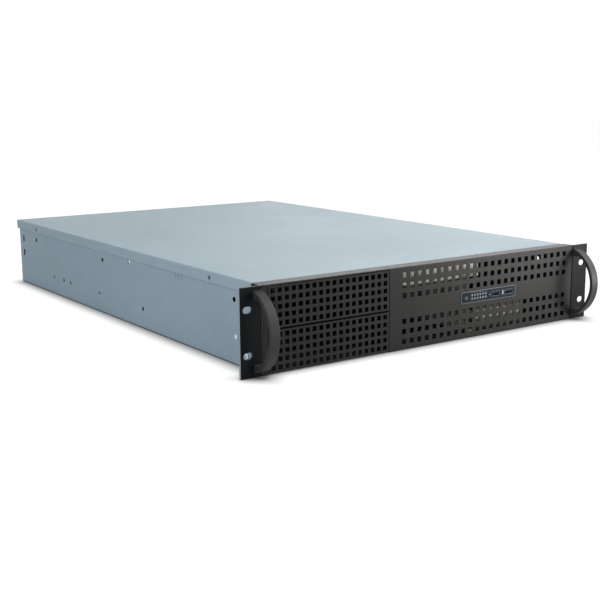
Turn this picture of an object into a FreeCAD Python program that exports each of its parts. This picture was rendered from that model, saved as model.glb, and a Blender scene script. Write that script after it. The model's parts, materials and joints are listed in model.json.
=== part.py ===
import FreeCAD, Part
import math
import os

import Sketcher

# Two-unit rackmount server case, empty, as a parametric assembly of folded sheets and fasteners.
# Frame: millimetres, +Z up, +Y to the rear, +X to the right seen from the front. The origin is the
# centre of the four rack slots, in the rear face of the ears, which is the face that meets the rack.

doc = FreeCAD.newDocument("ServerCase")
V = FreeCAD.Vector

# ---------------------------------------------------------------- driving dimensions

SIZES = {
    # the whole
    "bodyWidth": 430.0,  # outside of one side wall to the other
    "bodyDepth": 640.0,  # rack plane to the back of the rear panel
    "frontHeight": 88.0,  # two rack units, less the gap between neighbours
    "earWidth": 26.1,  # brings the ears to 482.6 across
    "lidOverhang": 8.0,  # how far the lid's rear lip stands past the rear panel
    # sheets and fits
    "earSheet": 2.0,
    "frontSheet": 1.0,
    "bodySheet": 1.2,
    "lidSheet": 1.0,
    "bendRadius": 0.5,  # inside radius of a fold
    "panelBendRadius": 0.1,  # inside radius of the front panel's fold
    "foldOverlap": 8.0,  # how far a folded strip runs back along the sheet it belongs to
    "slideGap": 0.1,  # between the lid and what it slides on
    "seamGap": 0.2,  # between pieces that only meet
    "cutPast": 1.0,  # how far a cut runs past the face that it opens
    # ears and rack slots
    "slotInset": 8.75,  # outer edge of an ear to the middle of its slots
    "slotSpacingZ": 44.45,
    "slotLength": 10.0,
    "slotHeight": 6.8,
    "earCorner": 3.0,
    "earScrewY": 8.6,
    "earScrewSpacing": 32.0,
    "earScrewSize": 4.0,
    "earScrewTip": 1.5,
    "earHead": 7.0,
    "earHeadHeight": 1.0,
    # handles
    "handleInset": 6.25,  # side wall to the middle of the handle's band
    "handleSpan": 80.0,
    "handleReach": 31.0,
    "handleWidth": 10.5,
    "handleThickness": 3.5,
    "handleEdge": 0.8,
    "handleFootDepth": 7.0,
    "handleFootHeight": 6.0,
    "handleFootDrop": 2.6,  # end of the arc to the outside of the foot
    "handleFootInset": 0.4,
    "handleScrewInset": 7.0,  # end of the arc to the screw
    "handleScrewShort": 2.0,  # how much the screw stops short of the foot's front
    "flushHead": 5.6,
    "flushHeadHeight": 0.9,
    # lid
    "lidFlangeHeight": 11.5,
    "lidTravel": 20.0,
    "lidTongueLength": 12.0,
    "lidTongueInset": 12.0,  # side wall to the end of the tongue
    "lidScrewDrop": 6.8,  # lid's top to the middle of its side screws
    "lidScrewInset": 67.0,  # rear panel's back to the lid's side screws
    "lidScrewSize": 3.0,
    "lidSlotPlay": 0.6,
    "lidHead": 6.0,
    "lidHeadHeight": 0.9,
    "lidScrewTip": 0.6,
    "lidNut": 5.5,
    "lidNutHeight": 2.4,
    "lidFrontHoleY": 98.0,
    "lidFrontHoleSize": 5.2,
    # tray
    "trayFlangeWidth": 10.0,
    "frontLipRight": 9.0,
    "frontLipLeft": 4.4,
    "frontLipBottom": 5.0,
    "railHoleSize": 5.6,
    "railHoleZ": 22.2,
    "railHoleFrontY": 50.8,
    "railHoleMiddleY": 360.0,
    "railHoleRearInset": 62.0,
    "sideHoleZ": -21.0,
    "sideHoleSize": 5.0,
    "sideHoleSmall": 3.5,
    "sideHoleUpperZ": 29.6,
    "sideHoleUpperStep": 24.0,  # fan wall to the upper hole behind it
    "sideHoleMiddleStep": 12.0,  # middle rail hole to the small hole behind it
    "sideHoleRearInset": 121.0,
    "lidCatchSize": 4.0,
    "dimpleFrontInset": 177.0,
    "dimpleRearInset": 155.0,
    "dimpleSize": 5.0,
    "dimpleDepth": 0.4,
    "dotY": 165.0,
    "dotZ": 29.6,
    "dotSize": 1.5,
    "dotPitchY": 6.2,
    "dotPitchZ": 2.4,
    "hookSlotInset": 14.0,
    "hookSlotWidth": 5.0,
    "hookSlotHeight": 8.5,
    "hookSlotUpperZ": 19.3,
    "hookSlotLowerZ": -0.4,
    # front panel
    "frontFlangeDepth": 15.7,
    "frontEndGap": 0.1,  # how far the panel stops short of the side wall's face
    "studSpacingZ": 56.0,
    "studInset": 4.8,
    "studTail": 2.5,
    # covers of the wide bays
    "bayCentreX": -135.3,
    "bayCentreZ": -0.3,
    "bayCoverWidth": 148.2,
    "bayCoverHeight": 41.6,
    "bayCoverGap": 0.6,  # between a cover and the opening that it fills
    "bayPitch": 43.4,
    "bayCoverReturn": 12.0,
    "bayReturnInset": 1.5,
    "bayHoleSize": 4.9,
    "bayHolePitch": 8.09,
    # perforation of the front panel
    "ventCentreX": 80.4,
    "ventOffsetZ": 24.5,
    "ventHoleSize": 5.5,
    "ventPitchX": 10.54,
    "ventPitchZ": 10.9,
    # front input and output module
    "ioCentreZ": 1.2,
    "ioWidth": 82.4,
    "ioHeight": 12.6,
    "ioRim": 0.7,
    "ioProud": 0.8,
    "ioFrontWall": 1.6,
    "ioSideWall": 0.8,
    "ioBodyDepth": 9.0,
    "ioBoardSheet": 1.6,
    "ioBoardOverhang": 6.0,
    "ioPostSize": 5.0,
    "ioScrewSize": 2.5,
    "ioScrewHead": 4.6,
    "ioScrewHeadHeight": 1.6,
    "ioScrewDepth": 4.0,
    "buttonGap": 0.2,
    "buttonProud": 0.4,
    "buttonFlange": 1.0,
    "buttonFlangeRise": 0.6,
    "switchGap": 0.2,
    "plungerLength": 1.2,
    "powerOffset": -34.0,
    "powerWidth": 11.2,
    "powerHeight": 7.2,
    "powerTravel": 1.2,
    "resetOffset": 0.8,
    "resetWidth": 3.6,
    "resetHeight": 4.6,
    "resetTravel": 0.8,
    "ledOffset": -14.9,
    "ledPitchX": 4.1,
    "ledPitchZ": 3.8,
    "ledSize": 1.9,
    "lensSink": 0.2,
    "statusOffset": 21.8,
    "statusWidth": 2.2,
    "statusHeight": 4.6,
    "usbFirstOffset": 10.8,
    "usbSecondOffset": 31.2,
    "usbWidth": 13.1,
    "usbHeight": 5.7,
    "usbSheet": 0.35,
    "usbSink": 0.3,
    "usbFloor": 1.5,
    "usbTongueWidth": 10.4,
    "usbTongueHeight": 1.9,
    "usbTongueDrop": 0.45,
    "usbTongueSink": 0.7,
    # wide drive bays
    "driveWidth": 146.1,
    "bayBracketDepth": 170.0,
    "bayBracketHeight": 83.0,
    "bayBracketFlange": 12.0,
    "bayFrontFlange": 14.3,
    "bayFrontFlangeTrim": 3.0,
    "bayScrewY": 52.3,
    "bayScrewSpacingY": 79.25,
    "bayScrewRise": 10.6,
    "bayScrewSpacingZ": 11.8,
    "bayDrivePitch": 41.4,
    "driveScrewHole": 3.4,
    "rivetY": 47.6,
    "rivetZ": -15.0,
    "rivetSize": 3.2,
    "rivetHead": 4.8,
    "rivetHeadHeight": 0.7,
    "bracketScrewY": 27.5,
    "bracketScrewZ": -30.6,
    "wallLeafMargin": 7.0,
    # cage for three drives
    "hddCageX": 15.2,
    "hddCageY": 14.0,
    "hddCageDepth": 150.0,
    "hddCageHeight": 84.0,
    "hddWidth": 102.4,
    "hddStrapLeft": 58.0,
    "hddStrapRight": 64.0,
    "hddStrapHeight": 21.0,
    "hddScrewY": 28.5,
    "hddScrewSpacingY": 101.6,
    "hddScrewRise": 8.0,
    "hddDrivePitch": 26.4,
    "cageFlange": 10.0,
    "cageScrewInset": 20.0,
    # tray for one narrow drive
    "ssdBracketX": 116.5,
    "ssdBracketY": 20.0,
    "ssdBracketDepth": 106.0,
    "ssdBracketHeight": 25.0,
    "ssdWidth": 70.4,
    "ssdScrewY": 14.0,
    "ssdScrewSpacingY": 76.6,
    "ssdScrewRise": 12.0,
    "ssdFloorScrewInset": 16.0,
    # fan wall
    "fanWallY": 262.0,
    "fanFlange": 12.0,
    "fanPitch": 105.0,
    "fanOpening": 77.0,
    "fanScrewSpacing": 71.5,
    "fanScrewHole": 4.4,
    "fanWallRelief": 4.0,
    "fanWallHoleStep": 9.0,
    "cablePassX": 184.0,
    "cablePassWidth": 34.0,
    "cablePassHeight": 46.0,
    # rear panel
    "rearFlange": 8.0,
    "boardPortX": 15.5,
    "boardPortWidth": 158.75,
    "boardPortHeight": 44.45,
    "boardPortZ": -14.8,
    "psuX": 157.0,
    "psuZ": -7.8,
    "psuOpeningWidth": 84.0,
    "psuOpeningHeight": 58.0,
    "psuScrewX": 93.0,
    "psuScrewZ": 63.0,
    "psuScrewHole": 3.6,
    "rearVentZ": 24.5,
    "rearVentHole": 4.0,
    "rearVentPitch": 6.6,
    # card slots
    "cardSlotX": -78.1,
    "cardSlotPitch": 20.32,
    "cardSlotWidth": 13.5,
    "cardSlotHeight": 62.0,
    "cardSlotZ": 1.0,
    "cardCoverWidth": 18.4,
    "cardCoverSheet": 0.9,
    "cardCoverTab": 11.0,
    "cardCoverOverlap": 5.0,
    "cardCoverTongue": 4.0,
    "cardCoverTongueWidth": 10.0,
    "cardRailRise": 4.0,  # top of the slot windows to the shelf
    "cardRailDepth": 13.0,
    "cardRailApron": 7.0,
    "cardRailWallLeaf": 15.0,
    "cardRailEndLeaf": 25.0,
    "cardRailEnd": 2.0,
    # main board supports
    "standoffHeight": 6.5,
    "standoffSize": 5.0,
    "standoffBore": 2.5,
    "standoffFloor": 1.0,
    "boardHoleX": 81.5,
    "boardHoleInset": 13.0,  # rear panel's back to the first row of supports
    "boardSpanX": 281.94,
    "boardMidX": 157.48,
    "boardSpanY": 227.33,
    "boardMidY": 154.94,
    # small fasteners
    "screwSize": 3.0,
    "screwHead": 5.6,
    "screwHeadHeight": 1.8,
    "screwTip": 1.5,
    "screwHoleGap": 0.2,  # on the diameter of a hole that a screw only passes through
    "threadGap": 0.02,
    "recessSize": 2.0,
    "recessDepth": 0.6,
    "nutSize": 5.5,
    "nutHeight": 2.4,
}

COUNTS = {
    "bayHoleColumns": 18,
    "bayHoleRows": 5,
    "ventColumns": 24,
    "ventRows": 3,
    "rearVentColumns": 23,
    "rearVentRows": 4,
    "dotColumns": 3,
    "dotRows": 3,
    "ledColumns": 6,
    "ledRows": 2,
    "cardSlots": 7,
    "hddDrives": 3,
    "earScrews": 3,
}

sheet = doc.addObject("Spreadsheet::Sheet", "Sizes")
for row, (alias, number) in enumerate([*SIZES.items(), *COUNTS.items()], start=1):
    sheet.set("A%d" % row, alias)
    sheet.set("B%d" % row, str(number))
    sheet.setAlias("B%d" % row, alias)
doc.recompute()


class Size:
    """A length that carries its value and the spreadsheet expression that gives it."""

    def __init__(self, text, value):
        self.text = text
        self.value = float(value)

    def __add__(self, other):
        other = as_size(other)
        return Size("(%s + %s)" % (self.text, other.text), self.value + other.value)

    def __sub__(self, other):
        other = as_size(other)
        return Size("(%s - %s)" % (self.text, other.text), self.value - other.value)

    def __mul__(self, other):
        other = as_size(other)
        return Size("(%s * %s)" % (self.text, other.text), self.value * other.value)

    def __truediv__(self, other):
        other = as_size(other)
        return Size("(%s / %s)" % (self.text, other.text), self.value / other.value)

    def __neg__(self):
        return Size("(0 - %s)" % self.text, -self.value)

    def __radd__(self, other):
        return as_size(other) + self

    def __rsub__(self, other):
        return as_size(other) - self


def as_size(number):
    return number if isinstance(number, Size) else Size(repr(float(number)), number)


class Sizes:
    """The spreadsheet's cells as named Size values."""

    def __getattr__(self, alias):
        return Size("Sizes." + alias, SIZES[alias] if alias in SIZES else COUNTS[alias])


s = Sizes()

# ---------------------------------------------------------------- sketches

# For each sketch plane: its role in a body's origin, and whether its normal points along +.
PLANES = {"XY": ("XY_Plane", True), "XZ": ("XZ_Plane", False), "YZ": ("YZ_Plane", True)}
# The axes across, up and through each sketch plane.
AXES = {"XY": "xyz", "XZ": "xzy", "YZ": "yzx"}


def bind(thing, prop, size):
    thing.setExpression(prop, as_size(size).text)


def new_body(label):
    body = doc.addObject("PartDesign::Body", label)
    body.Label = label
    return body


def new_sketch(body, plane, low):
    """A sketch on a plane of the body's own origin, moved to the coordinate low along its axis."""
    role, positive = PLANES[plane]
    support = [item for item in body.Origin.OriginFeatures if item.Role == role][0]
    sketch = body.newObject("Sketcher::SketchObject", body.Label + "_sketch")
    sketch.AttachmentSupport = [(support, "")]
    sketch.MapMode = "FlatFace"
    bind(sketch, "AttachmentOffset.Base.z", low if positive else -as_size(low))
    return sketch


def constrain(sketch, kind, places, size):
    """Add a driving dimension and bind it to its expression."""
    size = as_size(size)
    index = sketch.addConstraint(Sketcher.Constraint(kind, *places, size.value))
    sketch.setExpression("Constraints[%d]" % index, size.text)


def outline(sketch, corners):
    """A closed outline of level and upright lines through the corners, each a pair of sizes."""
    corners = [(as_size(across), as_size(up)) for across, up in corners]
    first = sketch.GeometryCount
    followers = corners[1:] + corners[:1]
    for start, end in zip(corners, followers):
        ends = [V(corner[0].value, corner[1].value, 0) for corner in (start, end)]
        sketch.addGeometry(Part.LineSegment(*ends), False)
    for place, (start, end) in enumerate(zip(corners, followers)):
        line = first + place
        following = first + (place + 1) % len(corners)
        sketch.addConstraint(Sketcher.Constraint("Coincident", line, 2, following, 1))
        if start[1].text == end[1].text:
            sketch.addConstraint(Sketcher.Constraint("Horizontal", line))
            constrain(sketch, "DistanceY", (-1, 1, line, 1), start[1])
        else:
            sketch.addConstraint(Sketcher.Constraint("Vertical", line))
            constrain(sketch, "DistanceX", (-1, 1, line, 1), start[0])


def rectangle(sketch, left, right, bottom, top):
    outline(sketch, [(left, bottom), (right, bottom), (right, top), (left, top)])


def centred(sketch, across, up, width, height):
    """A rectangle about its middle."""
    rectangle(sketch, across - width / 2, across + width / 2, up - height / 2, up + height / 2)


def circle(sketch, across, up, diameter):
    across, up, diameter = as_size(across), as_size(up), as_size(diameter)
    ring = Part.Circle(V(across.value, up.value, 0), V(0, 0, 1), diameter.value / 2)
    index = sketch.addGeometry(ring, False)
    constrain(sketch, "DistanceX", (-1, 1, index, 3), across)
    constrain(sketch, "DistanceY", (-1, 1, index, 3), up)
    constrain(sketch, "Radius", (index,), diameter / 2)


def round_slot(sketch, across, up, length, height):
    """A level slot with round ends, about its middle."""
    across, up = as_size(across), as_size(up)
    radius = height / 2
    reach = (length - height) / 2
    left = V((across - reach).value, up.value, 0)
    right = V((across + reach).value, up.value, 0)
    rise = V(0, radius.value, 0)
    normal = V(0, 0, 1)
    quarter = math.pi / 2
    first = sketch.GeometryCount
    left_arc = Part.ArcOfCircle(Part.Circle(left, normal, radius.value), quarter, 3 * quarter)
    right_arc = Part.ArcOfCircle(Part.Circle(right, normal, radius.value), -quarter, quarter)
    sketch.addGeometry(left_arc, False)
    sketch.addGeometry(Part.LineSegment(left - rise, right - rise), False)
    sketch.addGeometry(right_arc, False)
    sketch.addGeometry(Part.LineSegment(right + rise, left + rise), False)
    for place in range(4):
        following = first + (place + 1) % 4
        sketch.addConstraint(Sketcher.Constraint("Tangent", first + place, 2, following, 1))
    sketch.addConstraint(Sketcher.Constraint("Equal", first, first + 2))
    sketch.addConstraint(Sketcher.Constraint("Horizontal", first + 1))
    constrain(sketch, "DistanceX", (-1, 1, first, 3), across - reach)
    constrain(sketch, "DistanceY", (-1, 1, first, 3), up)
    constrain(sketch, "DistanceX", (-1, 1, first + 2, 3), across + reach)
    constrain(sketch, "Radius", (first,), radius)


# ---------------------------------------------------------------- features of a body


def ordered(first, second):
    """Two sizes with the smaller value first."""
    first, second = as_size(first), as_size(second)
    return (first, second) if first.value < second.value else (second, first)


def pad(body, plane, start, end, draw):
    """Add material between two coordinates along the plane's axis; draw puts in the outline."""
    low, high = ordered(start, end)
    sketch = new_sketch(body, plane, low)
    draw(sketch)
    feature = body.newObject("PartDesign::Pad", body.Label + "_pad")
    feature.Profile = sketch
    bind(feature, "Length", high - low)
    feature.Reversed = not PLANES[plane][1]
    doc.recompute()
    return feature


def pocket(body, plane, start, end, draw):
    """Cut between two coordinates along the plane's axis, and make sure that something was cut."""
    low, high = ordered(start, end)
    before = body.Shape.Volume
    sketch = new_sketch(body, plane, low)
    draw(sketch)
    feature = body.newObject("PartDesign::Pocket", body.Label + "_pocket")
    feature.Profile = sketch
    bind(feature, "Length", high - low)
    feature.Reversed = PLANES[plane][1]
    doc.recompute()
    if not body.Shape.Volume < before:
        raise RuntimeError("a pocket in %s cuts nothing" % body.Label)
    return feature


def pierce(body, plane, face, other_face, draw):
    """Cut right through the sheet between two faces."""
    low, high = ordered(face, other_face)
    return pocket(body, plane, low - s.cutPast, high + s.cutPast, draw)


def grid(body, feature, columns, pitch_across, rows, pitch_up):
    """Repeat a pocket along its sketch's two axes."""
    sketch = feature.Profile[0]
    pattern = body.newObject("PartDesign::MultiTransform", body.Label + "_grid")
    pattern.Originals = [feature]
    steps = []
    for axis, count, pitch in (("H_Axis", columns, pitch_across), ("V_Axis", rows, pitch_up)):
        step = body.newObject("PartDesign::LinearPattern", body.Label + "_row")
        step.Direction = (sketch, [axis])
        bind(step, "Length", pitch * (count - 1))
        bind(step, "Occurrences", count)
        steps.append(step)
    pattern.Transformations = steps
    body.Tip = pattern
    doc.recompute()


def grid_start(middle, pitch, count):
    return middle - pitch * (count - 1) / 2


def near(first, second):
    return abs(first - as_size(second).value) < 1e-4


def fillet(body, names, radius):
    if not names:
        raise RuntimeError("no edge to round in %s" % body.Label)
    feature = body.newObject("PartDesign::Fillet", body.Label + "_round")
    feature.Base = (body.Tip if feature.BaseFeature is None else feature.BaseFeature, names)
    bind(feature, "Radius", radius)
    doc.recompute()


def round_at(body, plane, corners, radius):
    """Fillet the straight edges that run through the plane at the given corners."""
    across, up, through = AXES[plane]
    names = []
    for number, edge in enumerate(body.Tip.Shape.Edges, start=1):
        if edge.Curve.TypeId != "Part::GeomLine":
            continue
        start, end = edge.Vertexes[0].Point, edge.Vertexes[-1].Point
        middle = (start + end) * 0.5
        if abs(abs(getattr((end - start).normalize(), through)) - 1) > 1e-6:
            continue
        for corner in corners:
            if near(getattr(middle, across), corner[0]) and near(getattr(middle, up), corner[1]):
                names.append("Edge%d" % number)
    fillet(body, names, radius)


def folded(body, plane, start, end, path, thickness, radius=None):
    """Pad a sheet folded along level and upright runs; path is the face on the right of its way."""
    radius = s.bendRadius if radius is None else radius
    path = [(as_size(across), as_size(up)) for across, up in path]
    runs = []
    for tail, tip in zip(path, path[1:]):
        runs.append(V(tip[0].value - tail[0].value, tip[1].value - tail[1].value, 0).normalize())
    other_face, outer, inner = [], [], []
    for index, (across, up) in enumerate(path):
        before, after = runs[max(index - 1, 0)], runs[min(index, len(runs) - 1)]
        shift_across, shift_up = -before.y - after.y, before.x + after.x
        if abs(shift_across) > 0.5:
            across = across + thickness if shift_across > 0 else across - thickness
        if abs(shift_up) > 0.5:
            up = up + thickness if shift_up > 0 else up - thickness
        other_face.append((across, up))
        turn = before.x * after.y - before.y * after.x
        if turn > 0.5:
            outer.append(path[index])
            inner.append(other_face[index])
        if turn < -0.5:
            outer.append(other_face[index])
            inner.append(path[index])
    pad(body, plane, start, end, lambda sketch: outline(sketch, path + other_face[::-1]))
    round_at(body, plane, outer, radius + thickness)
    round_at(body, plane, inner, radius)


# ---------------------------------------------------------------- primitives and booleans


def block(low, high):
    """A Part box between two corners, each three sizes."""
    box = doc.addObject("Part::Box", "block")
    for prop, letter, start, end in zip(("Length", "Width", "Height"), "xyz", low, high):
        bind(box, prop, end - start)
        bind(box, "Placement.Base." + letter, start)
    return box


TURNS = {
    "x": FreeCAD.Rotation(V(0, 1, 0), 90),
    "y": FreeCAD.Rotation(V(1, 0, 0), -90),
    "z": FreeCAD.Rotation(),
}


def place(thing, axis, start):
    thing.Placement = FreeCAD.Placement(V(0, 0, 0), TURNS[axis])
    for letter, size in zip("xyz", start):
        bind(thing, "Placement.Base." + letter, size)
    return thing


def rod(axis, start, diameter, length):
    """A round bar from its start point along +axis."""
    bar = doc.addObject("Part::Cylinder", "rod")
    bind(bar, "Radius", diameter / 2)
    bind(bar, "Height", length)
    return place(bar, axis, start)


def hexagon(axis, start, across_flats, length):
    """A six-sided bar from its start point along +axis."""
    bar = doc.addObject("Part::Prism", "hexagon")
    bar.Polygon = 6
    bind(bar, "Circumradius", across_flats / math.sqrt(3))
    bind(bar, "Height", length)
    return place(bar, axis, start)


def fuse(pieces, label="fuse"):
    joined = doc.addObject("Part::MultiFuse", label)
    joined.Shapes = pieces
    joined.Refine = True
    return joined


def cut(base, tools, label="cut"):
    result = doc.addObject("Part::Cut", label)
    result.Base = base
    result.Tool = tools[0] if len(tools) == 1 else fuse(tools)
    result.Refine = True
    return result


def set_of(pieces, label):
    """Identical loose pieces that share one node."""
    group = doc.addObject("Part::Compound", label)
    group.Links = pieces
    return group


def moved(seat, axis, shift):
    """The seat point shifted along an axis."""
    point = list(seat)
    place_of_axis = "xyz".index(axis)
    point[place_of_axis] = point[place_of_axis] + shift
    return point


def screw(axis, seat, toward, length, size, head, head_height):
    """A screw whose head stands on the seat, along +axis or -axis, with its shank the other way."""
    if toward > 0:
        shank_start = moved(seat, axis, -length)
        head_start = seat
        recess_start = moved(seat, axis, head_height - s.recessDepth)
    else:
        shank_start = seat
        head_start = moved(seat, axis, -head_height)
        recess_start = moved(seat, axis, -head_height - s.cutPast)
    shank = rod(axis, shank_start, size - s.threadGap * 2, length)
    cap = rod(axis, head_start, head, head_height)
    recess = rod(axis, recess_start, s.recessSize, s.recessDepth + s.cutPast)
    return cut(fuse([shank, cap]), [recess])


NODES = {}


def node(label, thing):
    thing.Label = label
    NODES[label] = thing


# ---------------------------------------------------------------- places that pieces share

SIDES = (("left", -1), ("right", 1))
half_body = s.bodyWidth / 2
wall_inside = half_body - s.bodySheet
half_front = s.frontHeight / 2
floor_top = s.bodySheet - half_front
front_face = -s.earSheet
front_back = front_face + s.frontSheet
lid_under = half_front - s.lidSheet
tray_top = lid_under - s.slideGap
tray_flange_under = tray_top - s.bodySheet
tray_flange_edge = half_body - s.trayFlangeWidth
rear_inside = s.bodyDepth - s.bodySheet
lid_front = s.frontFlangeDepth + s.seamGap
lid_rear = s.bodyDepth + s.lidOverhang
lid_side = half_body + s.slideGap + s.lidSheet
lid_flange_end = half_front - s.lidFlangeHeight
lid_screw_y = s.bodyDepth - s.lidScrewInset
lid_screw_z = half_front - s.lidScrewDrop
ear_inside = half_body + s.seamGap
slot_x = ear_inside + s.earWidth - s.slotInset
handle_x = half_body + s.handleInset
handle_screw_z = s.handleSpan / 2 - s.handleScrewInset
bay_left = s.bayCentreX - s.bayCoverWidth / 2
bay_right = s.bayCentreX + s.bayCoverWidth / 2
drive_left = s.bayCentreX - s.driveWidth / 2
drive_right = s.bayCentreX + s.driveWidth / 2
bracket_right_back = drive_right + s.seamGap + s.bodySheet
stud_z = s.studSpacingZ / 2
stud_right_x = half_body - s.studInset
stud_bay_x = bracket_right_back + s.bayFrontFlange / 2
io_left = s.ventCentreX - s.ioWidth / 2
io_right = s.ventCentreX + s.ioWidth / 2
fan_wall_hole_y = s.fanWallY - s.fanWallHoleStep
outer_bend = s.bendRadius + s.bodySheet
screw_hole = s.screwSize + s.screwHoleGap
card_rail_z = s.cardSlotZ + s.cardSlotHeight / 2 + s.cardRailRise


def ear_screw_places():
    places = []
    lowest = grid_start(as_size(0), s.earScrewSpacing, s.earScrews)
    for step in range(COUNTS["earScrews"]):
        places.append((s.earScrewY, lowest + s.earScrewSpacing * step))
    return places


def hdd_floor_screws():
    reach = s.hddWidth / 2 + s.bodySheet + s.cageFlange / 2
    front = s.hddCageY + s.cageScrewInset
    back = s.hddCageY + s.hddCageDepth - s.cageScrewInset
    return [(s.hddCageX + reach * side, depth) for _, side in SIDES for depth in (front, back)]


def ssd_floor_screws():
    front = s.ssdBracketY + s.ssdFloorScrewInset
    back = s.ssdBracketY + s.ssdBracketDepth - s.ssdFloorScrewInset
    return [(s.ssdBracketX, depth) for depth in (front, back)]


def fan_floor_screws():
    depth = s.fanWallY + s.bodySheet + s.fanFlange / 2
    return [(s.fanPitch * step, depth) for step in (-1.5, -0.5, 0.5, 1.5)]


def standoff_places():
    columns = (s.boardHoleX, s.boardHoleX - s.boardMidX, s.boardHoleX - s.boardSpanX)
    first_row = s.bodyDepth - s.boardHoleInset
    rows = (first_row, first_row - s.boardMidY, first_row - s.boardSpanY)
    return [(across, depth) for across in columns for depth in rows]


# ---------------------------------------------------------------- tray: floor and side walls, one sheet


def make_tray():
    body = new_body("base_tray")
    section = [
        (-tray_flange_edge, tray_top),
        (-half_body, tray_top),
        (-half_body, -half_front),
        (half_body, -half_front),
        (half_body, tray_top),
        (tray_flange_edge, tray_top),
    ]
    folded(body, "XZ", front_back, s.bodyDepth, section, s.bodySheet)
    make_tray_lips(body)
    make_wall_holes(body)

    def floor_holes(sketch):
        for across, depth in hdd_floor_screws() + ssd_floor_screws() + fan_floor_screws() + standoff_places():
            circle(sketch, across, depth, s.screwSize)

    pierce(body, "XY", -half_front, floor_top, floor_holes)
    node("base_tray", body)


def make_tray_lips(body):
    """The turned-in front edges that the front panel lies against."""
    lip_back = front_back + s.bodySheet
    low, high = floor_top - s.bodySheet / 2, tray_flange_under + s.bodySheet / 2
    right_edge = half_body - s.frontLipRight
    bottom_start = bracket_right_back + s.bayFrontFlange + s.seamGap
    lips = [
        (right_edge, half_body - s.bodySheet / 2, low, high),
        (s.bodySheet / 2 - half_body, s.frontLipLeft - half_body, low, high),
        (bottom_start, right_edge + s.bodySheet, low, s.frontLipBottom - half_front),
    ]
    for left, right, bottom, top in lips:
        pad(body, "XZ", front_back, lip_back, lambda sketch: rectangle(sketch, left, right, bottom, top))

    def stud_holes(sketch):
        for up in (-stud_z, stud_z):
            circle(sketch, stud_right_x, up, screw_hole)

    pierce(body, "XZ", front_back, lip_back, stud_holes)


def make_wall_holes(body):
    """Holes and pressed marks of the side walls, alike on both sides but for the drive bracket's."""

    def through_holes(sketch):
        for depth in (s.railHoleFrontY, s.railHoleMiddleY, s.bodyDepth - s.railHoleRearInset):
            circle(sketch, depth, s.railHoleZ, s.railHoleSize)
        circle(sketch, fan_wall_hole_y, s.sideHoleZ, s.sideHoleSize)
        circle(sketch, s.fanWallY + s.sideHoleUpperStep, s.sideHoleUpperZ, s.sideHoleSize)
        circle(sketch, s.railHoleMiddleY + s.sideHoleMiddleStep, s.sideHoleZ, s.sideHoleSmall)
        circle(sketch, s.bodyDepth - s.sideHoleRearInset, s.sideHoleZ, s.sideHoleSmall)
        circle(sketch, s.lidFrontHoleY, lid_screw_z, s.lidCatchSize)
        for depth, up in ear_screw_places():
            circle(sketch, depth, up, s.earScrewSize)
        slot_height = s.lidScrewSize + s.lidSlotPlay
        slot_middle = lid_screw_y + s.lidTravel / 2
        slot_length = s.lidTravel + slot_height + s.lidSlotPlay
        round_slot(sketch, slot_middle, lid_screw_z, slot_length, slot_height)
        for up in (s.hookSlotUpperZ, s.hookSlotLowerZ):
            centred(sketch, s.bodyDepth - s.hookSlotInset, up, s.hookSlotWidth, s.hookSlotHeight)

    pierce(body, "YZ", -half_body, half_body, through_holes)

    def bracket_holes(sketch):
        circle(sketch, s.rivetY, s.rivetZ, s.rivetSize)
        circle(sketch, s.bracketScrewY, s.bracketScrewZ, s.screwSize)

    pierce(body, "YZ", -half_body, -wall_inside, bracket_holes)

    def dimples(sketch):
        for inset in (s.dimpleFrontInset, s.dimpleRearInset):
            circle(sketch, s.bodyDepth - inset, s.sideHoleZ, s.dimpleSize)

    def dot(sketch):
        start_y = grid_start(s.dotY, s.dotPitchY, s.dotColumns)
        start_z = grid_start(s.dotZ, s.dotPitchZ, s.dotRows)
        circle(sketch, start_y, start_z, s.dotSize)

    for _, side in SIDES:
        bottom, past = (half_body - s.dimpleDepth) * side, (half_body + s.cutPast) * side
        pocket(body, "YZ", bottom, past, dimples)
        first_dot = pocket(body, "YZ", bottom, past, dot)
        grid(body, first_dot, s.dotColumns, s.dotPitchY, s.dotRows, s.dotPitchZ)


# ---------------------------------------------------------------- front panel and bay covers


def make_front_panel():
    body = new_body("front_panel")
    edge = half_body - s.frontEndGap
    section = [(s.frontFlangeDepth, half_front), (front_face, half_front), (front_face, -half_front)]
    folded(body, "YZ", -edge, edge, section, s.frontSheet, s.panelBendRadius)
    flange_corners = [(-edge, s.frontFlangeDepth), (edge, s.frontFlangeDepth)]
    round_at(body, "XY", flange_corners, s.earCorner)
    gap = s.bayCoverGap
    pocket(
        body,
        "XZ",
        front_face - s.cutPast,
        front_back,
        lambda sketch: rectangle(sketch, bay_left - gap, bay_right + gap, -half_front - s.cutPast, lid_under),
    )
    io_width = s.ioWidth - s.ioRim * 2 + s.seamGap
    io_height = s.ioHeight - s.ioRim * 2 + s.seamGap
    pierce(
        body,
        "XZ",
        front_face,
        front_back,
        lambda sketch: centred(sketch, s.ventCentreX, s.ioCentreZ, io_width, io_height),
    )
    first_column = grid_start(s.ventCentreX, s.ventPitchX, s.ventColumns)
    for middle in (-s.ventOffsetZ, s.ventOffsetZ):
        first_row = grid_start(middle, s.ventPitchZ, s.ventRows)
        hole = pierce(
            body,
            "XZ",
            front_face,
            front_back,
            lambda sketch: centred(sketch, first_column, first_row, s.ventHoleSize, s.ventHoleSize),
        )
        grid(body, hole, s.ventColumns, s.ventPitchX, s.ventRows, s.ventPitchZ)
    node("front_panel", body)


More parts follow.
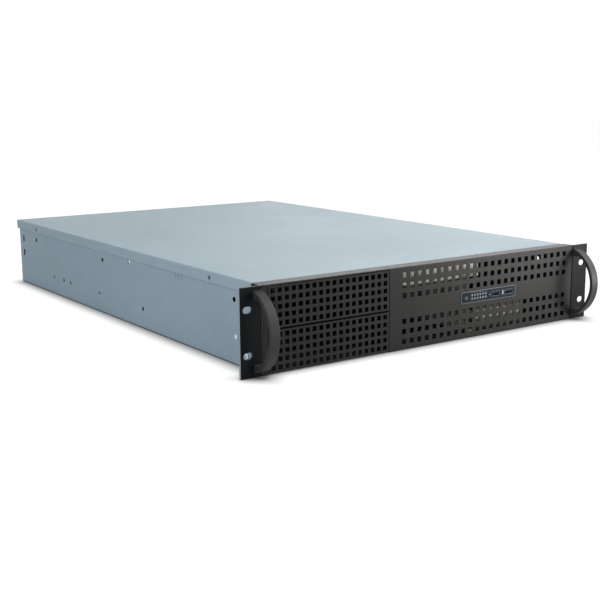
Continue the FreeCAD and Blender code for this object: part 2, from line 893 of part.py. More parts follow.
def make_bay_cover(label, middle):
    """A perforated cover with a spring leaf turned back at each side."""
    body = new_body(label)
    low = middle - s.bayCoverHeight / 2
    high = middle + s.bayCoverHeight / 2
    pad(body, "XZ", front_face, front_back, lambda sketch: rectangle(sketch, bay_left, bay_right, low, high))
    leaf_low, leaf_high = low + s.bayReturnInset, high - s.bayReturnInset
    for outside, inside in (
        (drive_left, drive_left + s.frontSheet),
        (drive_right, drive_right - s.frontSheet),
    ):
        left, right = ordered(outside, inside)
        pad(
            body,
            "XY",
            leaf_low,
            leaf_high,
            lambda sketch: rectangle(sketch, left, right, front_back - s.frontSheet / 2, s.bayCoverReturn),
        )
    face_edges = [(bay_left, front_face), (bay_right, front_face)]
    round_at(body, "XY", face_edges, s.frontSheet / 2)
    first_column = grid_start(s.bayCentreX, s.bayHolePitch, s.bayHoleColumns)
    first_row = grid_start(middle, s.bayHolePitch, s.bayHoleRows)
    hole = pierce(
        body,
        "XZ",
        front_face,
        front_back,
        lambda sketch: centred(sketch, first_column, first_row, s.bayHoleSize, s.bayHoleSize),
    )
    grid(body, hole, s.bayHoleColumns, s.bayHolePitch, s.bayHoleRows, s.bayHolePitch)
    node(label, body)


def make_panel_fixings():
    """Welded studs behind the front panel, and their nuts."""
    lip_back = front_back + s.bodySheet
    length = s.bodySheet + s.nutHeight + s.studTail
    studs, nuts = [], []
    for across in (stud_bay_x, stud_right_x):
        for up in (-stud_z, stud_z):
            studs.append(rod("y", (across, front_back, up), s.screwSize, length))
            nut = hexagon("y", (across, lip_back, up), s.nutSize, s.nutHeight)
            bore_start = (across, lip_back - s.cutPast, up)
            bore = rod("y", bore_start, s.screwSize + s.threadGap * 2, s.nutHeight + s.cutPast * 2)
            nuts.append(cut(nut, [bore]))
    node("panel_studs", set_of(studs, "panel_studs"))
    node("panel_nuts", set_of(nuts, "panel_nuts"))


# ---------------------------------------------------------------- ears and handles


def make_ear(label, side):
    """An angle bracket: the slotted ear, and the leaf that is screwed to the side wall."""
    body = new_body(label)
    inside = ear_inside * side
    leaf_outside = (ear_inside + s.earSheet) * side
    ear_edge = (ear_inside + s.earWidth) * side
    section = [(inside, s.frontFlangeDepth), (inside, front_face), (ear_edge, front_face)]
    folded(body, "XY", -half_front, half_front, section if side > 0 else section[::-1], s.earSheet)
    leaf_corners = [(s.frontFlangeDepth, -half_front), (s.frontFlangeDepth, half_front)]
    round_at(body, "YZ", leaf_corners, s.earCorner)

    def rack_slots(sketch):
        for up in (-s.slotSpacingZ / 2, s.slotSpacingZ / 2):
            round_slot(sketch, slot_x * side, up, s.slotLength, s.slotHeight)

    pierce(body, "XZ", front_face, 0, rack_slots)

    def handle_holes(diameter):
        def draw(sketch):
            for up in (-handle_screw_z, handle_screw_z):
                circle(sketch, handle_x * side, up, diameter)

        return draw

    pierce(body, "XZ", front_face, 0, handle_holes(screw_hole))
    head_seat = -s.flushHeadHeight - s.slideGap
    pocket(body, "XZ", head_seat, s.cutPast, handle_holes(s.flushHead + s.screwHoleGap))

    def leaf_holes(diameter):
        def draw(sketch):
            for depth, up in ear_screw_places():
                circle(sketch, depth, up, diameter)

        return draw

    pierce(body, "YZ", inside, leaf_outside, leaf_holes(s.earScrewSize + s.screwHoleGap))
    seat = (ear_inside + s.earSheet - s.earHeadHeight - s.slideGap) * side
    past = (ear_inside + s.earSheet + s.cutPast) * side
    pocket(body, "YZ", seat, past, leaf_holes(s.earHead + s.screwHoleGap))
    node(label, body)


def make_handle(label, side):
    """A flat band bent to an arc between two feet, standing forward of the ear."""
    body = new_body(label)
    low = handle_x * side - s.handleWidth / 2
    high = handle_x * side + s.handleWidth / 2
    radius = (s.handleSpan * s.handleSpan / 4 + s.handleReach * s.handleReach) / (s.handleReach * 2)
    centre_y = front_face - s.handleReach + radius
    inner_radius = radius - s.handleThickness

    def band(sketch):
        for size in (radius, inner_radius):
            half_turn = math.acos((centre_y - front_face).value / size.value)
            ring = Part.Circle(V(centre_y.value, 0, 0), V(0, 0, 1), size.value)
            sketch.addGeometry(Part.ArcOfCircle(ring, math.pi - half_turn, math.pi + half_turn), False)
        outer_arc, inner_arc = sketch.Geometry[0], sketch.Geometry[1]
        sketch.addGeometry(Part.LineSegment(outer_arc.StartPoint, inner_arc.StartPoint), False)
        sketch.addGeometry(Part.LineSegment(inner_arc.EndPoint, outer_arc.EndPoint), False)
        for ends in ((0, 1, 2, 1), (2, 2, 1, 1), (1, 2, 3, 1), (3, 2, 0, 2), (0, 3, 1, 3)):
            sketch.addConstraint(Sketcher.Constraint("Coincident", *ends))
        constrain(sketch, "DistanceX", (-1, 1, 0, 3), centre_y)
        constrain(sketch, "DistanceY", (-1, 1, 0, 3), 0)
        constrain(sketch, "Radius", (0,), radius)
        constrain(sketch, "Radius", (1,), inner_radius)
        for line in (2, 3):
            sketch.addConstraint(Sketcher.Constraint("Vertical", line))
            constrain(sketch, "DistanceX", (-1, 1, line, 1), front_face)

    pad(body, "YZ", low, high, band)
    arcs = []
    for number, edge in enumerate(body.Tip.Shape.Edges, start=1):
        if edge.Curve.TypeId == "Part::GeomCircle" and near(edge.Curve.Radius, radius):
            arcs.append("Edge%d" % number)
    fillet(body, arcs, s.handleEdge)
    far = s.handleSpan / 2 - s.handleFootDrop
    for sign in (-1, 1):
        bottom, top = ordered((far - s.handleFootHeight) * sign, far * sign)
        pad(
            body,
            "YZ",
            low + s.handleFootInset,
            high - s.handleFootInset,
            lambda sketch: rectangle(sketch, front_face - s.handleFootDepth, front_face, bottom, top),
        )

    def screw_holes(sketch):
        for up in (-handle_screw_z, handle_screw_z):
            circle(sketch, handle_x * side, up, s.screwSize)

    hole_end = front_face - s.handleFootDepth + s.handleScrewShort - s.cutPast
    pocket(body, "XZ", hole_end, front_face + s.cutPast, screw_holes)
    node(label, body)


def make_ear_fixings():
    """Flush screws: through each ear into the handle, and through each leaf into the wall."""
    handle_screws, wall_screws = [], []
    handle_length = s.handleFootDepth - s.handleScrewShort + s.earSheet - s.flushHeadHeight
    wall_length = s.earSheet - s.earHeadHeight + s.seamGap + s.bodySheet + s.earScrewTip
    for _, side in SIDES:
        for up in (-handle_screw_z, handle_screw_z):
            seat = (handle_x * side, -s.flushHeadHeight, up)
            handle_screws.append(
                screw("y", seat, 1, handle_length, s.screwSize, s.flushHead, s.flushHeadHeight)
            )
        seat_x = (ear_inside + s.earSheet - s.earHeadHeight) * side
        for depth, up in ear_screw_places():
            seat = (seat_x, depth, up)
            wall_screws.append(
                screw("x", seat, side, wall_length, s.earScrewSize, s.earHead, s.earHeadHeight)
            )
    node("handle_screws", set_of(handle_screws, "handle_screws"))
    node("ear_screws", set_of(wall_screws, "ear_screws"))


# ---------------------------------------------------------------- lid


def make_lid():
    body = new_body("top_lid")
    corner = s.bendRadius + s.lidSheet + s.seamGap
    section = [
        (lid_side, lid_flange_end),
        (lid_side, half_front),
        (-lid_side, half_front),
        (-lid_side, lid_flange_end),
    ]
    folded(body, "XZ", lid_front, lid_rear - corner, section, s.lidSheet)
    rear_lip = [
        (lid_rear, lid_flange_end),
        (lid_rear, half_front),
        (lid_rear - s.foldOverlap, half_front),
    ]
    folded(body, "YZ", corner - lid_side, lid_side - corner, rear_lip, s.lidSheet)
    tongue_top = lid_under - s.seamGap
    tongue_end = half_body - s.lidTongueInset
    joggle = [
        (lid_front - s.lidTongueLength, tongue_top - s.lidSheet),
        (lid_front + s.lidSheet, tongue_top - s.lidSheet),
        (lid_front + s.lidSheet, half_front - s.lidSheet / 2),
        (lid_front, half_front - s.lidSheet / 2),
        (lid_front, tongue_top),
        (lid_front - s.lidTongueLength, tongue_top),
    ]
    pad(body, "YZ", -tongue_end, tongue_end, lambda sketch: outline(sketch, joggle))
    round_at(body, "YZ", [(lid_front + s.lidSheet, tongue_top - s.lidSheet)], s.lidSheet)

    def side_holes(sketch):
        circle(sketch, s.lidFrontHoleY, lid_screw_z, s.lidFrontHoleSize)
        circle(sketch, lid_screw_y, lid_screw_z, s.lidScrewSize + s.screwHoleGap)

    pierce(body, "YZ", -lid_side, lid_side, side_holes)
    node("top_lid", body)


def make_lid_fixings():
    """A low screw and a square nut on each side: loosened, they slide along the wall's slot."""
    screws, nuts = [], []
    length = s.lidSheet + s.slideGap * 2 + s.bodySheet + s.lidNutHeight + s.lidScrewTip
    half_nut = s.lidNut / 2
    for _, side in SIDES:
        seat = (lid_side * side, lid_screw_y, lid_screw_z)
        screws.append(screw("x", seat, side, length, s.lidScrewSize, s.lidHead, s.lidHeadHeight))
        near_face = (wall_inside - s.slideGap) * side
        low, high = ordered(near_face, near_face - s.lidNutHeight * side)
        nut = block(
            (low, lid_screw_y - half_nut, lid_screw_z - half_nut),
            (high, lid_screw_y + half_nut, lid_screw_z + half_nut),
        )
        bore_start = (low - s.cutPast, lid_screw_y, lid_screw_z)
        bore = rod("x", bore_start, s.lidScrewSize + s.threadGap * 2, s.lidNutHeight + s.cutPast * 2)
        nuts.append(cut(nut, [bore]))
    node("lid_screws", set_of(screws, "lid_screws"))
    node("lid_nuts", set_of(nuts, "lid_nuts"))


# ---------------------------------------------------------------- front input and output module

rim_front = front_face - s.ioProud
io_wall_back = rim_front + s.ioFrontWall
io_body_back = front_face + s.ioBodyDepth
io_low = s.ioCentreZ - s.ioHeight / 2
io_high = s.ioCentreZ + s.ioHeight / 2


def slab(offset, width, height, low, high):
    """A block about an offset from the module's middle, between two depths."""
    across = s.ventCentreX + offset
    return block(
        (across - width / 2, low, s.ioCentreZ - height / 2),
        (across + width / 2, high, s.ioCentreZ + height / 2),
    )


def io_window(offset, width, height):
    """A cutter through the bezel's front wall, with the running gap all round."""
    gap = s.buttonGap * 2
    return slab(offset, width + gap, height + gap, rim_front - s.cutPast, io_wall_back + s.cutPast)


def led_places():
    places = []
    for column in range(COUNTS["ledColumns"]):
        across = grid_start(s.ventCentreX + s.ledOffset, s.ledPitchX, s.ledColumns) + s.ledPitchX * column
        for row in range(COUNTS["ledRows"]):
            up = grid_start(s.ioCentreZ, s.ledPitchZ, s.ledRows) + s.ledPitchZ * row
            places.append((across, up))
    return places


def make_bezel():
    rim = block((io_left, rim_front, io_low), (io_right, front_face, io_high))
    core = block(
        (io_left + s.ioRim, front_face - s.ioProud / 2, io_low + s.ioRim),
        (io_right - s.ioRim, io_body_back, io_high - s.ioRim),
    )
    wall = s.ioRim + s.ioSideWall
    hollow = block(
        (io_left + wall, io_wall_back, io_low + wall),
        (io_right - wall, io_body_back + s.cutPast, io_high - wall),
    )
    cuts = [
        hollow,
        io_window(s.powerOffset, s.powerWidth, s.powerHeight),
        io_window(s.resetOffset, s.resetWidth, s.resetHeight),
        io_window(s.statusOffset, s.statusWidth, s.statusHeight),
        io_window(s.usbFirstOffset, s.usbWidth, s.usbHeight),
        io_window(s.usbSecondOffset, s.usbWidth, s.usbHeight),
    ]
    hole = (s.ledSize + s.buttonGap) / 2
    for across, up in led_places():
        low = (across - hole, rim_front - s.cutPast, up - hole)
        cuts.append(block(low, (across + hole, io_wall_back + s.cutPast, up + hole)))
    node("io_bezel", cut(fuse([rim, core]), cuts, "io_bezel"))


def make_lenses():
    front, back = rim_front + s.lensSink, io_body_back - s.buttonGap
    half = s.ledSize / 2
    lenses = []
    for across, up in led_places():
        lenses.append(block((across - half, front, up - half), (across + half, back, up + half)))
    node("led_lenses", set_of(lenses, "led_lenses"))
    node("status_lens", slab(s.statusOffset, s.statusWidth, s.statusHeight, front, back))


def make_io_board():
    """The board behind the bezel, on two threaded posts."""
    board = block(
        (io_left - s.ioBoardOverhang, io_body_back, io_low),
        (io_right + s.ioBoardOverhang, io_body_back + s.ioBoardSheet, io_high),
    )
    posts, screws, holes = [], [], []
    post_length = io_body_back - front_back
    for across in (io_left - s.ioBoardOverhang / 2, io_right + s.ioBoardOverhang / 2):
        bar = hexagon("y", (across, front_back, s.ioCentreZ), s.ioPostSize, post_length)
        bore_start = (across, io_body_back - s.ioScrewDepth - s.cutPast, s.ioCentreZ)
        posts.append(cut(bar, [rod("y", bore_start, s.ioScrewSize, s.ioScrewDepth + s.cutPast * 2)]))
        hole_start = (across, io_body_back - s.cutPast, s.ioCentreZ)
        hole_length = s.ioBoardSheet + s.cutPast * 2
        holes.append(rod("y", hole_start, s.ioScrewSize + s.screwHoleGap, hole_length))
        seat = (across, io_body_back + s.ioBoardSheet, s.ioCentreZ)
        length = s.ioScrewDepth + s.ioBoardSheet
        screws.append(screw("y", seat, 1, length, s.ioScrewSize, s.ioScrewHead, s.ioScrewHeadHeight))
    node("io_board", cut(board, holes, "io_board"))
    node("io_posts", set_of(posts, "io_posts"))
    node("io_board_screws", set_of(screws, "io_board_screws"))


def make_button(name, offset, width, height, travel):
    """A cap that shows in its window, a flange that holds it in, and the switch behind it."""
    flange_front = io_wall_back + s.slideGap
    flange_back = flange_front + s.buttonFlange
    cap = slab(offset, width, height, rim_front - s.buttonProud, flange_front)
    flange = slab(offset, width, height + s.buttonFlangeRise * 2, flange_front, flange_back)
    node(name + "_button", fuse([cap, flange], name + "_button"))
    plunger_front = flange_back + travel + s.switchGap
    plunger_start = (s.ventCentreX + offset, plunger_front, s.ioCentreZ)
    plunger = rod("y", plunger_start, height * 0.4, s.plungerLength)
    housing_front = plunger_front + s.plungerLength * 0.8
    housing = slab(offset, width / 2, height * 0.8, housing_front, io_body_back)
    node(name + "_switch", fuse([housing, plunger], name + "_switch"))


def make_usb_sockets():
    shells, tongues = [], []
    mouth = rim_front + s.usbSink
    floor = io_body_back - s.usbFloor
    double = s.usbSheet * 2
    tongue_top = s.ioCentreZ + s.usbHeight / 2 - s.usbSheet - s.usbTongueDrop
    for offset in (s.usbFirstOffset, s.usbSecondOffset):
        outside = slab(offset, s.usbWidth, s.usbHeight, mouth, io_body_back)
        inside = slab(offset, s.usbWidth - double, s.usbHeight - double, mouth - s.cutPast, floor)
        shells.append(cut(outside, [inside]))
        across = s.ventCentreX + offset
        half = s.usbTongueWidth / 2
        low = (across - half, mouth + s.usbTongueSink, tongue_top - s.usbTongueHeight)
        tongues.append(block(low, (across + half, floor, tongue_top)))
    node("usb_shells", set_of(shells, "usb_shells"))
    node("usb_tongues", set_of(tongues, "usb_tongues"))


def make_io_module():
    make_bezel()
    make_lenses()
    make_io_board()
    make_button("power", s.powerOffset, s.powerWidth, s.powerHeight, s.powerTravel)
    make_button("reset", s.resetOffset, s.resetWidth, s.resetHeight, s.resetTravel)
    make_usb_sockets()


# ---------------------------------------------------------------- drive bays


def bay_screw_holes(sketch):
    """The holes that meet a wide drive's side screws, for the lower and the upper drive."""
    for drive in range(2):
        for step_y in range(2):
            for step_z in range(2):
                depth = s.bayScrewY + s.bayScrewSpacingY * step_y
                rise = s.bayScrewRise + s.bayDrivePitch * drive + s.bayScrewSpacingZ * step_z
                circle(sketch, depth, floor_top + rise, s.driveScrewHole)


def make_bay_brackets():
    """The two side plates that carry the wide drives, one against the wall, one standing free."""
    top = floor_top + s.bayBracketHeight
    front = front_back + outer_bend + s.seamGap
    back = front_back + s.bayBracketDepth
    left = new_body("bay_bracket_left")
    web = drive_left - s.seamGap
    leaf_top = s.rivetZ + s.wallLeafMargin
    section = [
        (-wall_inside, leaf_top),
        (-wall_inside, floor_top),
        (web, floor_top),
        (web, top),
        (-wall_inside, top),
    ]
    folded(left, "XZ", front, back, section, s.bodySheet)
    # The wall leaf starts behind the ear's screws.
    pocket(
        left,
        "YZ",
        -wall_inside - s.cutPast,
        s.bodySheet * 2 - wall_inside,
        lambda sketch: rectangle(
            sketch, front - s.cutPast, s.frontFlangeDepth, floor_top + outer_bend, leaf_top + s.cutPast
        ),
    )
    pierce(left, "YZ", web - s.bodySheet, web, bay_screw_holes)

    def wall_fixings(sketch):
        circle(sketch, s.rivetY, s.rivetZ, s.rivetSize)
        circle(sketch, s.bracketScrewY, s.bracketScrewZ, s.screwSize)

    pierce(left, "YZ", -wall_inside, s.bodySheet - wall_inside, wall_fixings)
    node("bay_bracket_left", left)

    right = new_body("bay_bracket_right")
    web = drive_right + s.seamGap
    reach = web + s.bodySheet + s.bayBracketFlange
    section = [(reach, top), (web, top), (web, floor_top), (reach, floor_top)]
    folded(right, "XZ", front, back, section, s.bodySheet)
    flange_end = web + s.bodySheet + s.bayFrontFlange
    flange = [(web, front_back + s.foldOverlap), (web, front_back), (flange_end, front_back)]
    trim = s.bayFrontFlangeTrim
    folded(right, "XY", floor_top + trim, top - trim, flange, s.bodySheet)
    pierce(right, "YZ", web, web + s.bodySheet, bay_screw_holes)

    def stud_holes(sketch):
        for up in (-stud_z, stud_z):
            circle(sketch, stud_bay_x, up, screw_hole)

    pierce(right, "XZ", front_back, front_back + s.bodySheet, stud_holes)
    node("bay_bracket_right", right)


def make_bay_fixings():
    """The rivet and the screw that hold the left bracket to the wall."""
    shank = rod("x", (-half_body, s.rivetY, s.rivetZ), s.rivetSize - s.threadGap * 2, s.bodySheet * 2)
    head = rod("x", (-half_body - s.rivetHeadHeight, s.rivetY, s.rivetZ), s.rivetHead, s.rivetHeadHeight)
    tail = rod("x", (s.bodySheet - wall_inside, s.rivetY, s.rivetZ), s.rivetHead, s.rivetHeadHeight)
    node("bay_rivet", fuse([shank, head, tail], "bay_rivet"))
    length = s.bodySheet * 2 + s.screwTip
    seat = (-half_body, s.bracketScrewY, s.bracketScrewZ)
    node("bay_screw", screw("x", seat, -1, length, s.screwSize, s.screwHead, s.screwHeadHeight))


def make_floor_screws(label, places):
    """Pan-head screws that hold a flange down on the floor."""
    length = s.bodySheet * 2 - s.slideGap
    screws = []
    for across, depth in places:
        seat = (across, depth, floor_top + s.bodySheet)
        screws.append(screw("z", seat, 1, length, s.screwSize, s.screwHead, s.screwHeadHeight))
    node(label, set_of(screws, label))


def floor_flange_holes(body, places):
    def draw(sketch):
        for across, depth in places:
            circle(sketch, across, depth, screw_hole)

    pierce(body, "XY", floor_top, floor_top + s.bodySheet, draw)


def make_hdd_cage():
    """One folded sheet over three drives: two webs, a top, a front strap and floor flanges."""
    body = new_body("hdd_cage")
    left, right = s.hddCageX - s.hddWidth / 2, s.hddCageX + s.hddWidth / 2
    reach = s.bodySheet + s.cageFlange
    front, back = s.hddCageY, s.hddCageY + s.hddCageDepth
    under = floor_top + s.hddCageHeight - s.bodySheet
    section = [
        (left - reach, floor_top),
        (left, floor_top),
        (left, under),
        (right, under),
        (right, floor_top),
        (right + reach, floor_top),
    ]
    folded(body, "XZ", front + outer_bend + s.seamGap, back, section, s.bodySheet)
    top = under + s.bodySheet
    strap = [(front + s.foldOverlap, top), (front, top), (front, top - s.hddStrapHeight)]
    folded(body, "YZ", s.hddCageX - s.hddStrapLeft, s.hddCageX + s.hddStrapRight, strap, s.bodySheet)

    def drive_holes(sketch):
        for drive in range(COUNTS["hddDrives"]):
            for step in range(2):
                depth = front + s.hddScrewY + s.hddScrewSpacingY * step
                circle(sketch, depth, floor_top + s.hddScrewRise + s.hddDrivePitch * drive, s.driveScrewHole)

    pierce(body, "YZ", left - s.bodySheet, right + s.bodySheet, drive_holes)
    floor_flange_holes(body, hdd_floor_screws())
    node("hdd_cage", body)
    make_floor_screws("hdd_cage_screws", hdd_floor_screws())


def make_ssd_bracket():
    """A low open tray for one narrow drive, with a front flange."""
    body = new_body("ssd_bracket")
    left = s.ssdBracketX - s.ssdWidth / 2 - s.bodySheet
    right = s.ssdBracketX + s.ssdWidth / 2 + s.bodySheet
    front, back = s.ssdBracketY, s.ssdBracketY + s.ssdBracketDepth
    top = floor_top + s.ssdBracketHeight
    section = [(left, top), (left, floor_top), (right, floor_top), (right, top)]
    folded(body, "XZ", front + outer_bend + s.seamGap, back, section, s.bodySheet)
    flange = [(front, top), (front, floor_top), (front + s.foldOverlap, floor_top)]
    folded(body, "YZ", left, right, flange, s.bodySheet)

    def drive_holes(sketch):
        for step in range(2):
            depth = front + s.ssdScrewY + s.ssdScrewSpacingY * step
            circle(sketch, depth, floor_top + s.ssdScrewRise, s.driveScrewHole)

    pierce(body, "YZ", left, right, drive_holes)
    floor_flange_holes(body, ssd_floor_screws())
    node("ssd_bracket", body)
    make_floor_screws("ssd_bracket_screws", ssd_floor_screws())


# ---------------------------------------------------------------- fan wall


def side_flange(edge, inner, back, front, side):
    """The path of a plate that turns forward at its left or right edge, seen from above."""
    path = [(edge * side, front), (edge * side, back), (inner * side, back)]
    return path if side > 0 else path[::-1]


def make_fan_wall():
    """A cross wall with three fan openings, folded on all four sides."""
    body = new_body("fan_wall")
    front, back = s.fanWallY, s.fanWallY + s.bodySheet
    flange_back = back + s.fanFlange
    edge = wall_inside - s.slideGap
    low, high = floor_top, tray_flange_under - s.seamGap
    section = [(flange_back, high), (front, high), (front, low), (flange_back, low)]
    inner = edge - s.fanWallRelief
    folded(body, "YZ", -inner, inner, section, s.bodySheet)
    for _, side in SIDES:
        path = side_flange(edge, inner - s.fanWallRelief, back, front - s.fanFlange, side)
        folded(body, "XY", low + s.fanWallRelief, high - s.fanWallRelief, path, s.bodySheet)
    middle = (low + high) / 2

    def openings(sketch):
        half = s.fanScrewSpacing / 2
        for step in (-1, 0, 1):
            across = s.fanPitch * step
            circle(sketch, across, middle, s.fanOpening)
            for shift in (-half, half):
                circle(sketch, across + shift, middle - half, s.fanScrewHole)
                circle(sketch, across + shift, middle + half, s.fanScrewHole)
        for _, side in SIDES:
            centred(sketch, s.cablePassX * side, middle, s.cablePassWidth, s.cablePassHeight)

    pierce(body, "XZ", front, back, openings)
    pierce(
        body,
        "YZ",
        -wall_inside,
        wall_inside,
        lambda sketch: circle(sketch, fan_wall_hole_y, s.sideHoleZ, s.sideHoleSmall),
    )
    floor_flange_holes(body, fan_floor_screws())
    node("fan_wall", body)
    make_floor_screws("fan_wall_screws", fan_floor_screws())


# ---------------------------------------------------------------- rear panel and card slots


def card_slot_x(number):
    return s.cardSlotX - s.cardSlotPitch * number


def make_rear_panel():
    """The rear wall, folded forward on all four sides."""
    body = new_body("rear_panel")
    edge = wall_inside - s.slideGap
    back = s.bodyDepth
    low, high = floor_top, tray_top - s.seamGap
    flange_front = rear_inside - s.rearFlange
    inner = tray_flange_edge - s.seamGap
    section = [(flange_front, low), (back, low), (back, high), (flange_front, high)]
    folded(body, "YZ", -inner, inner, section, s.bodySheet)
    side_low = low + s.bendRadius * 2
    side_high = tray_flange_under - s.seamGap
    for _, side in SIDES:
        path = side_flange(edge, inner - s.foldOverlap / 2, back, flange_front, side)
        folded(body, "XY", side_low, side_high, path, s.bodySheet)

    def openings(sketch):
        centred(sketch, s.boardPortX, s.boardPortZ, s.boardPortWidth, s.boardPortHeight)
        centred(sketch, s.psuX, s.psuZ, s.psuOpeningWidth, s.psuOpeningHeight)
        for across in (-s.psuScrewX / 2, s.psuScrewX / 2):
            for up in (-s.psuScrewZ / 2, s.psuScrewZ / 2):
                circle(sketch, s.psuX + across, s.psuZ + up, s.psuScrewHole)
        for number in range(COUNTS["cardSlots"]):
            centred(sketch, card_slot_x(number), s.cardSlotZ, s.cardSlotWidth, s.cardSlotHeight)

    pierce(body, "XZ", rear_inside, back, openings)
    first_column = grid_start(s.boardPortX, s.rearVentPitch, s.rearVentColumns)
    first_row = grid_start(s.rearVentZ, s.rearVentPitch, s.rearVentRows)
    vent = pierce(
        body,
        "XZ",
        rear_inside,
        back,
        lambda sketch: centred(sketch, first_column, first_row, s.rearVentHole, s.rearVentHole),
    )
    grid(body, vent, s.rearVentColumns, s.rearVentPitch, s.rearVentRows, s.rearVentPitch)
    node("rear_panel", body)


cover_back = rear_inside - s.slideGap
cover_front = cover_back - s.cardCoverSheet
shelf_top = card_rail_z + s.bodySheet
cover_screw_y = cover_front - s.cardCoverTab / 2


def make_card_cover(number):
    """A blanking cover: a plate over the slot, a tongue below and a tab on the shelf."""
    across = card_slot_x(number)
    half = s.cardCoverWidth / 2
    half_tongue = s.cardCoverTongueWidth / 2
    tab_top = shelf_top + s.cardCoverSheet
    plate_low = s.cardSlotZ - s.cardSlotHeight / 2 - s.cardCoverOverlap
    plate = block((across - half, cover_front, plate_low), (across + half, cover_back, tab_top))
    tab_front = cover_front - s.cardCoverTab
    tab = block((across - half, tab_front, shelf_top), (across + half, cover_back, tab_top))
    tongue = block(
        (across - half_tongue, cover_front, plate_low - s.cardCoverTongue),
        (across + half_tongue, cover_back, s.cardSlotZ),
    )
    hole_half = screw_hole / 2
    hole_start = (across, cover_screw_y, shelf_top - s.cutPast)
    hole = rod("z", hole_start, screw_hole, s.cardCoverSheet + s.cutPast * 2)
    mouth = block(
        (across - hole_half, tab_front - s.cutPast, shelf_top - s.cutPast),
        (across + hole_half, cover_screw_y, tab_top + s.cutPast),
    )
    label = "slot_cover_%d" % (number + 1)
    node(label, cut(fuse([plate, tab, tongue]), [hole, mouth], label))


def make_slot_rail():
    """The shelf that the covers hang from, folded down in front and at both ends."""
    body = new_body("slot_rail")
    front = cover_front - s.cardRailDepth
    back = cover_front - s.seamGap
    leg = s.bodySheet * 2
    end = s.cardSlotX + s.cardSlotPitch / 2 + s.cardRailEnd
    shelf = [(back, shelf_top), (front, shelf_top), (front, shelf_top - s.cardRailApron)]
    folded(body, "YZ", outer_bend - wall_inside, end - outer_bend, shelf, s.bodySheet)
    leaf_front = front + outer_bend + s.seamGap
    end_leaf = [(end, shelf_top - s.cardRailEndLeaf), (end, shelf_top), (end - leg, shelf_top)]
    folded(body, "XZ", leaf_front, rear_inside, end_leaf, s.bodySheet)
    wall_leaf = [
        (leg - wall_inside, shelf_top),
        (-wall_inside, shelf_top),
        (-wall_inside, shelf_top - s.cardRailWallLeaf),
    ]
    folded(body, "XZ", leaf_front, rear_inside - s.rearFlange - s.seamGap, wall_leaf, s.bodySheet)

    def screw_holes(sketch):
        for number in range(COUNTS["cardSlots"]):
            circle(sketch, card_slot_x(number), cover_screw_y, s.screwSize)

    pierce(body, "XY", card_rail_z, shelf_top, screw_holes)
    node("slot_rail", body)


def make_card_slots():
    screws = []
    length = s.cardCoverSheet + s.bodySheet + s.screwTip
    for number in range(COUNTS["cardSlots"]):
        make_card_cover(number)
        seat = (card_slot_x(number), cover_screw_y, shelf_top + s.cardCoverSheet)
        screws.append(screw("z", seat, 1, length, s.screwSize, s.screwHead, s.screwHeadHeight))
    node("slot_screws", set_of(screws, "slot_screws"))
    make_slot_rail()


# ---------------------------------------------------------------- main board standoffs


def make_standoffs():
    """Hexagonal threaded supports, pressed into the floor."""
    posts = []
    foot_size = s.screwSize - s.threadGap * 2
    foot_low = floor_top - s.bodySheet + s.slideGap
    for across, depth in standoff_places():
        foot = rod("z", (across, depth, foot_low), foot_size, s.bodySheet)
        bar = hexagon("z", (across, depth, floor_top), s.standoffSize, s.standoffHeight)
        bore_start = (across, depth, floor_top + s.standoffFloor)
        posts.append(cut(fuse([foot, bar]), [rod("z", bore_start, s.standoffBore, s.standoffHeight)]))
    node("board_standoffs", set_of(posts, "board_standoffs"))


# ---------------------------------------------------------------- build, check and write

make_tray()
make_front_panel()
make_bay_cover("bay_cover_upper", s.bayCentreZ + s.bayPitch / 2)
make_bay_cover("bay_cover_lower", s.bayCentreZ - s.bayPitch / 2)
make_panel_fixings()
for side_name, side_sign in SIDES:
    make_ear("ear_bracket_" + side_name, side_sign)
    make_handle("handle_" + side_name, side_sign)
make_ear_fixings()
make_lid()
make_lid_fixings()
make_io_module()
make_bay_brackets()
make_bay_fixings()
make_hdd_cage()
make_ssd_bracket()
make_fan_wall()
make_rear_panel()
make_card_slots()
make_standoffs()
doc.recompute()

for thing in doc.Objects:
    if "Invalid" in thing.State or "Error" in thing.State:
        raise RuntimeError("%s did not compute: %s" % (thing.Label, thing.State))
for label, thing in NODES.items():
    if thing.Shape.isNull() or not thing.Shape.isValid():
        raise RuntimeError("%s has no valid shape" % label)

os.makedirs("parts", exist_ok=True)
for label, thing in NODES.items():
    thing.Shape.exportStep("parts/%s.step" % label)
    print("%-20s %2d solids %12.1f mm3" % (label, len(thing.Shape.Solids), thing.Shape.Volume))
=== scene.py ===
"""Looks of an empty two-unit rackmount server case: zinc-plated tray and lid, black perforated front.

Lengths are in metres in the frame's own axes: +Z up, +Y to the rear, +X to the right from the front.
"""

import json
import math

import bmesh
import bpy
import numpy as np
from mathutils import Matrix, Vector


